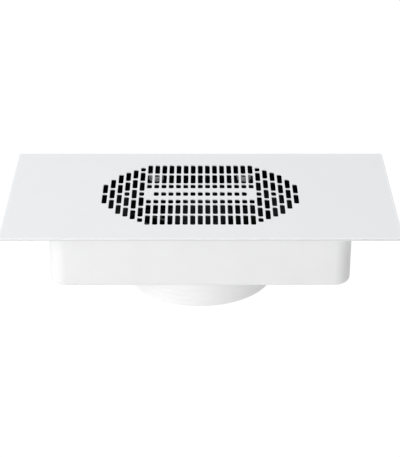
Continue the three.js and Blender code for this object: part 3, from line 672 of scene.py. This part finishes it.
def sleeved_can():
    """Shrink sleeve on a capacitor, with the pale stripe of its negative side."""
    look = Look(0.3)
    stripe = look.between(look.along("Y"), -0.0122, -0.0119, 0.0, 1.0)
    pale, blue = (0.42, 0.44, 0.47), (0.013, 0.024, 0.11)
    look.paint(look.colour(stripe, [(0.4, *pale), (0.6, *blue)])).rough(0.05, 0.003)
    return look.bump(look.noise(0.0008, 2), 0.00002, 0.3)


def wound_tape():
    """Yellow tape round a small transformer."""
    look = Look(0.42)
    layers = look.noise(0.0016, 2, look.stretched((0.15, 0.15, 1.0)))
    look.paint(look.colour(layers, [(0.35, 0.58, 0.42, 0.09), (0.65, 0.68, 0.52, 0.14)])).rough(0.05, 0.002)
    return look.bump(layers, 0.00006, 0.5)


def looks():
    """Every material, by its name."""
    made = {
        "panel_coating": sprayed_coating(),
        "white_plastic": moulded((0.818, 0.818, 0.819), 0.3),
        # The housing's white made lighter for the spigot: painted light that brightens it where the lamps
        # leave it darker
        "spigot_plastic_painted_light": moulded((0.86, 0.86, 0.861), 0.3),
        "black_plastic": sparked_black_painted_shade(),
        "grey_plastic": moulded((0.47, 0.49, 0.51), 0.42, 0.03),
        "rubber": rubbery(),
        "foam_tape": foamed(),
        "steel": metal((0.46, 0.465, 0.475), 0.3, (0.1, 1.0, 1.0)),
        "zinc_screws": metal((0.55, 0.555, 0.53), 0.36, spread=0.12),
        "magnet": metal((0.06, 0.061, 0.066), 0.55, spread=0.2),
        "lamination": banded((0.2, 0.205, 0.215), (0.05, 0.05, 0.055), 0.45, 0.0005, "Z", 0.9),
        "copper": banded((0.62, 0.2, 0.06), (0.16, 0.04, 0.012), 0.32, 0.0004, "DIAGONAL", 1.0),
        "brass": metal((0.62, 0.43, 0.13), 0.28, (1.0, 1.0, 0.1)),
        "circuit_board": circuit_board(),
        "capacitor_sleeve": sleeved_can(),
        "bobbin": wound_tape(),
        "brown_sleeve": moulded((0.13, 0.045, 0.018), 0.42, 0.04),
        "blue_sleeve": moulded((0.022, 0.075, 0.33), 0.42, 0.04),
        "red_sleeve": moulded((0.36, 0.016, 0.013), 0.42, 0.04),
        "black_sleeve": moulded((0.009, 0.009, 0.009), 0.45, 0.05),
    }
    for name, look in made.items():
        look.material.name = name + "_look"
    return {name: look.material for name, look in made.items()}


LOOKS = looks()
SHARP_ANGLE = 32  # degrees between faces, above which an edge is shaded sharp


def stand_for(node, obj, look=None):
    """Puts a finished body in place of a CAD node: in metres, on its body, with the look of its slot."""
    cad = frame["nodes"][node]
    slot = cad.data.materials[0].name.split(".")[0]
    obj.name = node + "_finished"
    obj.data.name = obj.name
    obj.data.transform(Matrix.Scale(MM, 4))
    obj.data.materials.clear()
    obj.data.materials.append(LOOKS[look or slot])
    obj.data.shade_smooth()
    obj.data.set_sharp_from_angle(angle=math.radians(SHARP_ANGLE))
    weighted = obj.modifiers.new("even_shading", "WEIGHTED_NORMAL")
    weighted.keep_sharp = True
    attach(obj, cad["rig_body"])
    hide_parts(node)


def refined(node, edge):
    """A CAD node's own shape with its corners softened."""
    bm = bmesh.new()
    bm.from_mesh(frame["nodes"][node].data)
    bmesh.ops.scale(bm, vec=Vector((1 / MM,) * 3), verts=bm.verts)
    bmesh.ops.remove_doubles(bm, verts=bm.verts, dist=1e-3)
    bmesh.ops.dissolve_limit(bm, angle_limit=math.radians(1), verts=bm.verts, edges=bm.edges)
    hard = [e for e in bm.edges if len(e.link_faces) == 2 and e.calc_face_angle() > math.radians(50)]
    bmesh.ops.bevel(bm, geom=hard, offset=edge, segments=2, profile=0.5, affect="EDGES", clamp_overlap=True)
    return body_from(bm)


# ---------------------------------------------------------------- front panel


def column_slots(column):
    """(low, high) ends of the slots of one column, in row pitches."""
    past_tall = column - TALL_COLUMNS
    if past_tall <= 0:
        reach, phase = TALL_REACH, 0
    elif column <= SLANT_COLUMNS:
        reach = TALL_REACH - past_tall / 2
        phase = 1 - abs(1 - past_tall / 2)
    else:
        reach = LAST_COLUMN + 2 - column
        phase = (column - SLANT_COLUMNS) % 2
    spans = []
    if phase > 0:
        spans.append((-phase, phase))
    if column <= CENTRE_SLOT_COLUMNS:
        spans.append((-0.5, 0.5))
    at = phase
    while at < reach:
        start = max(at, 1) if past_tall <= 0 else at
        end = min(at + 2, reach)
        spans += [(start, end), (-end, -start)]
        at += 2
    return spans


def slot_outline(x, y0, y1):
    def outline(outset):
        width, depth = SLOT_WIDTH + 2 * outset, y1 - y0 + 2 * outset
        return rounded_rectangle(width, depth, SLOT_CORNER + outset, 3, x, (y0 + y1) / 2)

    return outline


def front_panel():
    lowest, highest = low("front_panel"), high("front_panel")
    width, depth = highest.x - lowest.x, highest.y - lowest.y

    def outline(outset):
        return rounded_rectangle(width + 2 * outset, depth + 2 * outset, PANEL_CORNER + outset, 6)

    slots = []
    for column in range(-LAST_COLUMN, LAST_COLUMN + 1):
        for start, end in column_slots(abs(column)):
            y0 = start * ROW_PITCH + SLOT_WEB / 2
            y1 = end * ROW_PITCH - SLOT_WEB / 2
            slots.append(slot_outline(column * COLUMN_PITCH, y0, y1))
    sheet = perforated(outline, slots, lowest.z, highest.z, PANEL_UNDER_EDGE, SLOT_EDGE, PANEL_EDGE)
    x, y = GRILLE_WIDTH / 2, GRILLE_DEPTH / 2
    relief = block(-x, x, -y, y, lowest.z - 2, highest.z - GRILLE_THICKNESS, 0.4)
    stand_for("front_panel", cut(sheet, relief))


# ---------------------------------------------------------------- carrier of the panel


def tray_outline(inset):
    def outline(outset):
        grow = 2 * (outset - inset)
        return rounded_rectangle(TRAY.x + grow, TRAY.y + grow, TRAY_CORNER - inset + outset, 10)

    return outline


def carrier_opening(outset):
    width, depth, corner = CARRIER_OPENING
    return rounded_rectangle(width + 2 * outset, depth + 2 * outset, corner + outset, 8)


def snap_pin(tip, top):
    """A round pin with a barb near its tip."""
    barb = [(1.5, tip), (SNAP_BARB, tip + 1.4), (SNAP_BARB, tip + 2), (SNAP_PIN, tip + 2.8)]
    return turned([(0, tip)] + barb + [(SNAP_PIN, top), (0, top)], 32, 0.25)


def panel_carrier():
    tip, top = low("panel_carrier").z, high("panel_carrier").z
    base = top - CARRIER_THICKNESS
    body = perforated(tray_outline(0), [carrier_opening], base, top, 0.35, 0.35)
    for x, y in CLIPS:
        out = math.copysign(1, y)
        arm_y = sorted((y + out * 1.4, y + out * 4.6))
        tab_y = sorted((y - out * 2.6, y + out * 3))
        joined(
            body,
            moved(snap_pin(tip, base + 1), x, y),
            block(x - SNAP_ARM, x + SNAP_ARM, *arm_y, CLIP_TOP + 0.5, base + 1, 0.4),
            block(x - SNAP_ARM, x + SNAP_ARM, *tab_y, base, top, 0.4),
        )
    stand_for("panel_carrier", body)
    for node in ("adhesive_strip_left", "adhesive_strip_right"):
        a, b = low(node), high(node)
        stand_for(node, block(a.x, b.x, a.y, b.y, a.z, b.z, 0.25))


# ---------------------------------------------------------------- housing


def housing_loop(outset, z):
    width, depth = HOUSING.x + 2 * outset, HOUSING.y + 2 * outset
    outline = rounded_rectangle(width, depth, max(HOUSING_CORNER + outset, 0.5), 14)
    return [(x, y, z) for x, y in outline]


def housing_shell(back, floor, rim):
    """The outer skin up from the back, over the rounded rim, and down the inside to the floor."""
    edge, lip, fillet = HOUSING_EDGE, HOUSING_LIP, HOUSING_FILLET
    places = [(-edge * (1 - math.sin(t)), back + edge * (1 - math.cos(t))) for t in quarter(8)]
    places += [(-lip * (1 - math.cos(t)), rim - lip * (1 - math.sin(t))) for t in quarter(3)]
    places += [(-WALL + lip * (1 - math.sin(t)), rim - lip * (1 - math.cos(t))) for t in quarter(3)]
    places += [(-WALL - fillet * (1 - math.cos(t)), floor + fillet * (1 - math.sin(t))) for t in quarter(4)]
    return lofted([housing_loop(outset, z) for outset, z in places])


def add_socket(shell, x, y):
    """The socket of one snap pin, and the rib that ties it to the wall."""
    out = math.copysign(1, y)
    rib_y = sorted((y + out * 3.5, out * (HOUSING.y / 2 - 1.5)))
    socket = rod(x, y, CLIP_RADIUS, CLIP_BASE, CLIP_TOP, 48, 0.5)
    joined(shell, socket, block(x - 2.5, x + 2.5, *rib_y, CLIP_BASE, 44, 0.3))
    chamfer = CLIP_MOUTH - CLIP_BORE
    bore = [(0, CLIP_BASE - 1), (CLIP_BORE, CLIP_BASE - 1), (CLIP_BORE, CLIP_TOP - chamfer),
            (CLIP_MOUTH, CLIP_TOP), (CLIP_MOUTH, 50), (0, 50)]
    cut(shell, moved(turned(bore, 48), x, y))


def add_cable_saddle(shell, floor):
    """The raised bed that the cable clamp presses the cable onto."""
    joined(shell, block(CABLE_X - 13, CABLE_X + 13, CLAMP_Y - 4, CLAMP_Y + 4, floor - 1, floor + 4, 0.3))
    trough = turned_by(drill(0, 0, 3.5, -6, 6, 32), 90, "X")
    cut(shell, moved(trough, CABLE_X, CLAMP_Y, floor + 5.6))
    for x in (CABLE_X - CLAMP_FIXING, CABLE_X + CLAMP_FIXING):
        cut(shell, drill(x, CLAMP_Y, PILOT, floor - 1, floor + 5))


def opening_in_back(x, y, radius, back, floor, sides):
    """The cutter of a hole through the housing's back, with a small chamfer outside."""
    soft = 0.3
    profile = [(0, back - 2), (radius + soft, back - 2), (radius + soft, back), (radius, back + soft)]
    return moved(turned(profile + [(radius, floor + 1), (0, floor + 1)], sides), x, y)


def housing():
    back, rim = low("housing").z, high("housing").z
    floor = back + WALL
    shell = housing_shell(back, floor, rim)
    for x, y in CLIPS:
        add_socket(shell, x, y)
    for places, radius, top, depth in POSTS:
        for x, y in places:
            joined(shell, rod(x, y, radius, floor - 1, top, 32, 0.25))
            cut(shell, drill(x, y, PILOT, top - depth, top + 1))
    add_cable_saddle(shell, floor)
    for x, y in WALL_HOLES:
        cut(shell, opening_in_back(x, y, WALL_HOLE, back, floor, 32))
    cut(shell, opening_in_back(CABLE_X, CABLE_Y, CABLE_HOLE, back, floor, 32))
    cut(shell, opening_in_back(0, 0, DUCT_HOLE, back, floor, 128))
    stand_for("housing", shell)


# ---------------------------------------------------------------- duct spigot and shutter


def duct_spigot():
    top = high("duct_spigot").z
    flange = top - FLANGE_THICKNESS
    inner = SPIGOT_RADIUS - GRIP_DEPTH
    profile = [(SPIGOT_RADIUS - 0.8, 0)]
    for i in range(GRIP_RINGS):
        z = 1 + GRIP_PITCH * i
        profile += [(SPIGOT_RADIUS, z), (inner, z + 2.8)]
    profile += [(inner, flange), (FLANGE_RADIUS, flange), (FLANGE_RADIUS, top), (SPIGOT_BORE, top)]
    # The ledge that the closed flaps lie against
    profile += [(SPIGOT_BORE, 17.4), (LEDGE_RADIUS, 16.2), (LEDGE_RADIUS, 14.7), (SPIGOT_BORE, 14.7)]
    body = turned(profile + [(SPIGOT_BORE, 0)], 180, 0.12)
    for side in (-1, 1):
        boss = cross_rod(KNUCKLE_RADIUS, *sorted((side * 42.5, side * 48)), 0.3)
        bore = cross_rod(KNUCKLE_BORE, *sorted((side * 42, side * 46.8)), 0.01)
        cut(joined(body, boss), bore)
    # The spigot takes the lighter white, which is painted light
    stand_for("duct_spigot", body, "spigot_plastic_painted_light")
    a, b = low("spigot_gasket").z, high("spigot_gasket").z
    stand_for("spigot_gasket", ring(49.3, FLANGE_RADIUS, a, b, 128, 0.3))


def half_disc(outset):
    """The rear flap's outline, its straight side near the pin's axis."""
    radius = FLAP_RADIUS + outset
    start = math.asin((FLAP_GAP - outset) / radius)
    steps = 72
    turns = [start + (math.pi - 2 * start) * i / steps for i in range(steps + 1)]
    return [(radius * math.cos(t), radius * math.sin(t)) for t in turns]


def flap():
    base = PIN_HEIGHT + FLAP_LIFT
    body = raised(half_disc, base, base + FLAP_THICKNESS, 0.3)
    for start in KNUCKLE_STARTS:
        end = start + KNUCKLE_LENGTH
        web = block(start, end, FLAP_GAP, KNUCKLE_RADIUS, PIN_HEIGHT, base + 0.4, 0.1)
        joined(body, cross_rod(KNUCKLE_RADIUS, start, end, 0.25), web)
        cut(body, cross_rod(KNUCKLE_BORE, start - 1, end + 1, 0.01))
    rib = block(-34, 34, 20, 21.4, base - 1.2, base + 0.4, 0.3)
    return joined(body, rib)


def flap_spring():
    """A coil round the pin, with a leg that lies under the flap."""
    per_turn = 20
    points = []
    for i in range(int(SPRING_TURNS * per_turn) + 1):
        turn = 2 * math.pi * i / per_turn
        y, z = SPRING_RADIUS * math.sin(turn), PIN_HEIGHT - SPRING_RADIUS * math.cos(turn)
        points.append((SPRING_START + SPRING_PITCH * i / per_turn, y, z))
    end = SPRING_START + SPRING_PITCH * SPRING_TURNS + 0.2
    leg = [(2.2, 1.55), (3, 1.6), (6, 1.7), (9, 1.8)]
    return tube(points + [(end, y, PIN_HEIGHT + rise) for y, rise in leg], SPRING_WIRE, 8)


def shutter():
    stand_for("flap_rear", flap())
    stand_for("flap_front", turned_by(flap(), 180))
    stand_for("flap_spring_rear", flap_spring())
    stand_for("flap_spring_front", turned_by(flap_spring(), 180))
    stand_for("flap_pin", cross_rod(PIN_RADIUS, -PIN_REACH, PIN_REACH, 0.25))


# ---------------------------------------------------------------- fan frame and inlet shroud


def motor_cup(base, rim):
    """The cup in the middle of the fan frame, and the post for the motor's bearing tube."""
    floor, post = base + 1, 36
    wall = [(0, base), (CUP_RADIUS, base), (CUP_RADIUS, rim), (17.3, rim), (17.3, floor)]
    centre = [(6.4, floor), (6.4, post), (5.2, post), (5.2, floor), (0, floor)]
    return turned(wall + centre, 96, 0.25)


def fan_frame():
    base, top = low("fan_frame").z, high("fan_frame").z
    strut_top = base + STRUT_HEIGHT
    foot = [(51.5, base), (51.5, base + 1.6), (RING_RADIUS, base + 1.6)]
    body = turned([(RING_BORE, base)] + foot + [(RING_RADIUS, top), (RING_BORE, top)], 144, 0.3)
    joined(body, motor_cup(base, strut_top))
    for i in range(STRUTS):
        half = 3.4 if i == 0 else 2.2
        joined(body, turned_by(block(18.4, 47.4, -half, half, base, strut_top, 0.5), 360 / STRUTS * i))
    for x, y in FAN_FIXINGS:
        arm = block(47.6, math.hypot(x, y), -3.6, 3.6, EAR_BASE, EAR_TOP, 0.3)
        angle = math.degrees(math.atan2(y, x))
        joined(body, rod(x, y, EAR_RADIUS, EAR_BASE, EAR_TOP, 40, 0.3), turned_by(arm, angle))
        cut(body, drill(x, y, SCREW_HOLE, 24, 30))
    cut(body, block(16, 53, -CHANNEL, CHANNEL, base + 1.2, strut_top + 1, 0.2))
    stand_for("fan_frame", body)


def inlet_shroud():
    base, rim = low("inlet_shroud").z, high("inlet_shroud").z
    floor = base + 1.7
    body = raised(tray_outline(0), base, rim, 0.4)
    loops = []
    for t in (0, 0.4, 0.8, 1.2, math.pi / 2):
        inset, z = TRAY_WALL + 0.9 * (1 - math.sin(t)), floor + 0.9 * (1 - math.cos(t))
        loops.append([(x, y, z) for x, y in tray_outline(inset)(0)])
    loops.append([(x, y, rim + 1) for x, y, _ in loops[-1]])
    cut(body, lofted(loops))
    # The bell mouth, widening upwards
    mouth = [(0, -1), (46.8, -1), (46.8, 0), (46.86, 0.4), (47.05, 0.8), (47.35, 1.15), (47.75, 1.42),
             (48.4, 1.7), (48.4, 3), (0, 3)]
    cut(body, turned([(radius, base + rise) for radius, rise in mouth], 144))
    cut(body, together([drill(x, y, CLIP_RADIUS + 0.4, base - 1, CLIP_TOP + 1, 48) for x, y in CLIPS]))
    cut(body, together([drill(x, y, SCREW_HOLE, base - 1, base + 3) for x, y in SHROUD_FIXINGS]))
    stand_for("inlet_shroud", body)


# ---------------------------------------------------------------- impeller


def blade_section(share):
    """One section of a blade, wrapped on the cylinder of its radius, rising towards its leading edge."""
    root = HUB_RADIUS - 1
    radius = root + (BLADE_TIP - root) * share
    chord = ROOT_CHORD + (TIP_CHORD - ROOT_CHORD) * share
    pitch = math.radians(ROOT_PITCH + (TIP_PITCH - ROOT_PITCH) * share)
    sweep = math.radians(TIP_SWEEP) * share * share
    points = 12
    sides = []
    for way in (-1, 1):
        side = []
        for i in range(points):
            along = -0.5 * math.cos(math.pi * i / (points - 1))
            bow = BLADE_BOW * chord * (1 - 4 * along * along)
            thickness = 0.22 + 0.68 * math.sqrt(max(1 - 4 * along * along, 0))
            off = bow + way * thickness
            tangent = along * chord * math.cos(pitch) - off * math.sin(pitch)
            height = along * chord * math.sin(pitch) + off * math.cos(pitch)
            turn = tangent / radius + sweep
            side.append((radius * math.cos(turn), radius * math.sin(turn), BLADE_MIDDLE + height))
        sides.append(side)
    return sides[0] + sides[1][::-1]


def impeller():
    top, inside = HUB_TOP, HUB_TOP - 1.6
    skirt = [(19.5, HUB_BASE), (HUB_RADIUS, HUB_BASE), (HUB_RADIUS, top - 1.1), (HUB_RADIUS - 1.1, top)]
    groove = [(15.6, top), (15.2, top - 0.4), (14.6, top - 0.4), (14.2, top)]
    bush = [(0, top), (0, 41.6), (SHAFT_FIT, 41.6), (SHAFT_FIT, 38.7), (3.6, 38.7), (3.6, inside)]
    hub = turned(skirt + groove + bush + [(19.5, inside)], 112, 0.35)
    stations = 14
    for i in range(BLADES):
        blade = lofted([blade_section(k / (stations - 1)) for k in range(stations)])
        joined(hub, turned_by(blade, 360 / BLADES * i))
    stand_for("impeller", hub)


# ---------------------------------------------------------------- motor


def motor():
    cup = [(18.2, 28.6), (19.2, 28.6), (19.2, 40.6), (4, 40.6), (4, 39.6), (18.2, 39.6)]
    stand_for("rotor_cup", turned(cup, 96, 0.3))
    stand_for("rotor_magnet", ring(16, 18, 28.9, 39.2, 96, 0.2))
    full, waist = SHAFT_RADIUS, SHAFT_RADIUS - 0.2
    groove = [(full, 24.7), (waist, 24.8), (waist, 25.25), (full, 25.35)]
    shaft = [(0, 24.3), (full, 24.3)] + groove + [(full, 41.3), (0, 41.3)]
    stand_for("motor_shaft", turned(shaft, 32, 0.12))
    stand_for("shaft_clip", ring(SHAFT_FIT, 2.8, 24.8, 25.3, 40, 0.1))
    for node in ("bearing_lower", "bearing_upper"):
        stand_for(node, ring(SHAFT_FIT, 4, low(node).z, high(node).z, 48, 0.25))
    bore, shoulder = 4.1, 3.2
    outside = [(bore, 24.2), (5, 24.2), (5, 38.4), (bore, 38.4)]
    inside = [(bore, 34), (shoulder, 34), (shoulder, 29.8), (bore, 29.8)]
    stand_for("bearing_tube", turned(outside + inside, 64, 0.15))
    stand_for("motor_board", ring(6.7, 16.8, 26.6, 27.6, 72, 0.08))
    for node in ("stator_core", "stator_coil_1", "stator_coil_2", "stator_coil_3", "stator_coil_4"):
        stand_for(node, refined(node, 0.2))


# ---------------------------------------------------------------- fasteners and electrical parts


def screw(node):
    """A pan-head screw with a cross recess, its thread drawn as a stack of ridges."""
    a, b = low(node), high(node)
    head = (b.x - a.x) / 2
    height = 0.7 * head
    seat = b.z - height
    shank = 1.2 if head < 2 else 1.3
    root, pitch = shank * 0.78, 0.7
    profile = [(0, a.z), (0.35, a.z)]
    z = a.z + 0.8
    while z + pitch < seat - 0.4:
        profile += [(root, z), (shank, z + pitch / 2)]
        z += pitch
    profile += [(root, z), (root, seat)]
    profile += [(head - 0.1, seat), (head, seat + 0.15), (head, seat + 0.45 * height)]
    for i in range(1, 6):
        turn = math.radians(18 * i)
        profile.append((max(head * math.cos(turn), 0), seat + height * (0.45 + 0.55 * math.sin(turn))))
    body = turned(profile, 28)
    for angle in (45, 135):
        long, wide = 0.58 * head, 0.13 * head
        recess = block(-long, long, -wide, wide, b.z - 0.55 * height, b.z + 1, 0.05)
        cut(body, turned_by(recess, angle))
    stand_for(node, moved(body, (a.x + b.x) / 2, (a.y + b.y) / 2))


def capacitor():
    """An upright can with a rolled groove below its top."""
    a, b = low("board_capacitor"), high("board_capacitor")
    top = b.z
    groove = [(5, top - 2.6), (4.7, top - 2.2), (4.7, top - 1.9), (5, top - 1.5)]
    end = [(5, top - 0.5), (4.5, top), (3.9, top), (3.9, top - 0.25), (0, top - 0.25)]
    can = turned([(0, a.z), (5, a.z)] + groove + end, 64, 0.2)
    stand_for("board_capacitor", moved(can, (a.x + b.x) / 2, (a.y + b.y) / 2))


def electrical_parts():
    for node in ("terminal_block", "cable_clamp", "mains_connector", "motor_connector", "board_transformer"):
        stand_for(node, refined(node, 0.3))
    stand_for("control_board", refined("control_board", 0.1))
    neck = [(7, 17.7), (5.1, 17.7), (5.1, 20.3), (7, 20.3)]
    grommet = [(3.6, 17), (7, 17)] + neck + [(7, 21.2), (5.2, 23), (3.6, 23)]
    stand_for("cable_grommet", moved(turned(grommet, 64, 0.3), CABLE_X, CABLE_Y))
    capacitor()


def supply_lead(node, start_y, end_y, z):
    """A lead from a terminal, along the front wall under the clip sockets, to the board."""
    wall_y = -51.4
    points = [
        (-68, start_y, 26), (-64.5, start_y, 26), (-57, start_y - 8, 27.5), (-55.5, -28, z), (-50, -43, z),
        (-38, wall_y + 0.4, z), (-28, wall_y, z), (0, wall_y, z), (28, wall_y, z), (38, wall_y + 0.4, z),
        (50, -43, z), (56, -31, z), (58.5, end_y, 31.2), (63, end_y, 31.2),
    ]
    stand_for(node, tube(smooth_line(points), LEAD_RADIUS, 12))


def motor_lead(node, y):
    """A lead from the board, along the channel in the first strut, to the motor's board."""
    z = low("fan_frame").z + 2
    points = [
        (63, y, 30.4), (59, y, 30.2), (55, y, 27), (51, y, z), (44, y, z), (30, y, z), (16, y, z),
        (13, y, z + 0.2), (11.5, y, z + 0.5),
    ]
    stand_for(node, tube(smooth_line(points), LEAD_RADIUS, 12))


# ---------------------------------------------------------------- making

front_panel()
panel_carrier()
housing()
duct_spigot()
shutter()
fan_frame()
inlet_shroud()
impeller()
motor()
electrical_parts()
supply_lead("lead_live", -1, -22, 30.6)
supply_lead("lead_neutral", 9, -18, 33)
motor_lead("lead_motor_1", -0.85)
motor_lead("lead_motor_2", 0.85)
for name in sorted(frame["nodes"]):
    if "_screw_" in name:
        screw(name)

# ---------------------------------------------------------------- floor, light and camera

# Places and sizes from here on are in metres.
ROOM_RADIUS = 6
FLOOR_GAP = 0.0005
FLOOR_WHITE = 1.03  # a little past white, so that the floor and the backdrop show as pure white
FLOOR_BOUNCE = 0.84
LIGHTS_AIM = (0, 0, 0.03)
# The surroundings: soft lobes of light, each with its direction and level
LOBES = [
    ((-1, 0, 0.1), 0.6), ((-1, -1, 0.1), 0.55), ((-1, 1, 0.3), 0.7),
    ((0, 1, 0.3), 0.7), ((1, 1, 0.3), 0.15), ((0, 0, 1), 0.68),
]
# Near lights: place, size and power in watts
SOFTBOXES = {
    "left_light": ((-0.75, -0.75, 0.15), (0.5, 0.4), 0.72),
    "low_light": ((-0.5, -0.6, 0.02), (0.4, 0.3), 1.1),
    "front_light": ((-0.2, -0.8, 0.1), (0.5, 0.3), 1.05),
    "high_front_light": ((-0.2, -0.75, 0.45), (0.5, 0.3), 0.7),
    "high_left_light": ((-0.6, -0.6, 0.45), (0.5, 0.4), 0.55),
    "top_light": ((-0.5, 0.3, 0.8), (0.6, 0.5), 0.8),
}
CAMERA_PLACE = (-0.00023, -0.8841, 0.48888)
CAMERA_TILT = 27.38  # degrees below level
CAMERA_LENS = 118.9  # millimetres, on a sensor as wide as SENSOR_WIDTH
SENSOR_WIDTH = 36


def glowing(name, strength):
    """A plain white light-giving material."""
    material = bpy.data.materials.new(name)
    material.use_nodes = True
    tree = material.node_tree
    tree.nodes.clear()
    emission = add_node(tree, "ShaderNodeEmission", {"Color": (1, 1, 1, 1), "Strength": strength})
    add_node(tree, "ShaderNodeOutputMaterial", {"Surface": emission.outputs["Emission"]})
    return material


def stage_piece(name, bm, z, material, seen):
    """Part of the room: seen by the camera but lighting nothing, or the other way round."""
    mesh = bpy.data.meshes.new(name)
    bm.to_mesh(mesh)
    bm.free()
    obj = bpy.data.objects.new(name, mesh)
    bpy.context.scene.collection.objects.link(obj)
    obj.location = (0, 0, z)
    obj.data.materials.append(material)
    obj.visible_camera = seen
    for kind in ("visible_diffuse", "visible_glossy", "visible_transmission", "visible_shadow"):
        setattr(obj, kind, not seen)


def disc():
    bm = bmesh.new()
    bmesh.ops.create_circle(bm, cap_ends=True, segments=96, radius=ROOM_RADIUS)
    return bm


def dome():
    bm = bmesh.new()
    bmesh.ops.create_uvsphere(bm, u_segments=48, v_segments=24, radius=ROOM_RADIUS)
    return bm


def room():
    ground = cad_box[0].z - FLOOR_GAP
    white = glowing("white", FLOOR_WHITE)
    stage_piece("floor", disc(), ground, white, True)
    stage_piece("backdrop", dome(), 0, white, True)
    stage_piece("floor_bounce", disc(), ground - FLOOR_GAP, glowing("bounce", FLOOR_BOUNCE), False)


def softbox(name, location, size, watts):
    data = bpy.data.lights.new(name, "AREA")
    data.shape = "RECTANGLE"
    data.size, data.size_y = size
    data.energy = watts
    obj = bpy.data.objects.new(name, data)
    bpy.context.scene.collection.objects.link(obj)
    obj.location = location
    obj.rotation_euler = (Vector(LIGHTS_AIM) - Vector(location)).to_track_quat("-Z", "Y").to_euler()
    obj.visible_camera = False


def lighting():
    """A white room that is bright behind and to the left, with little to the right."""
    world = bpy.data.worlds.new("studio")
    bpy.context.scene.world = world
    world.use_nodes = True
    tree = world.node_tree
    outwards = add_node(tree, "ShaderNodeTexCoord").outputs["Generated"]
    total = 0.0
    for direction, level in LOBES:
        inputs = {0: outwards, 1: Vector(direction).normalized()}
        facing = add_node(tree, "ShaderNodeVectorMath", inputs, operation="DOT_PRODUCT").outputs["Value"]
        lobe = worked_out(tree, "POWER", worked_out(tree, "MAXIMUM", facing, 0.0), 2.0)
        total = worked_out(tree, "MULTIPLY_ADD", lobe, level, total)
    tree.links.new(total, tree.nodes["Background"].inputs["Color"])
    for name, (location, size, watts) in SOFTBOXES.items():
        softbox(name, location, size, watts)
    bpy.context.scene.view_settings.view_transform = "Standard"


def camera():
    data = bpy.data.cameras.new("camera")
    data.lens = CAMERA_LENS
    data.sensor_width = SENSOR_WIDTH
    obj = bpy.data.objects.new("camera", data)
    bpy.context.scene.collection.objects.link(obj)
    obj.location = CAMERA_PLACE
    obj.rotation_euler = (math.radians(90 - CAMERA_TILT), 0, 0)
    bpy.context.scene.camera = obj


room()
lighting()
camera()
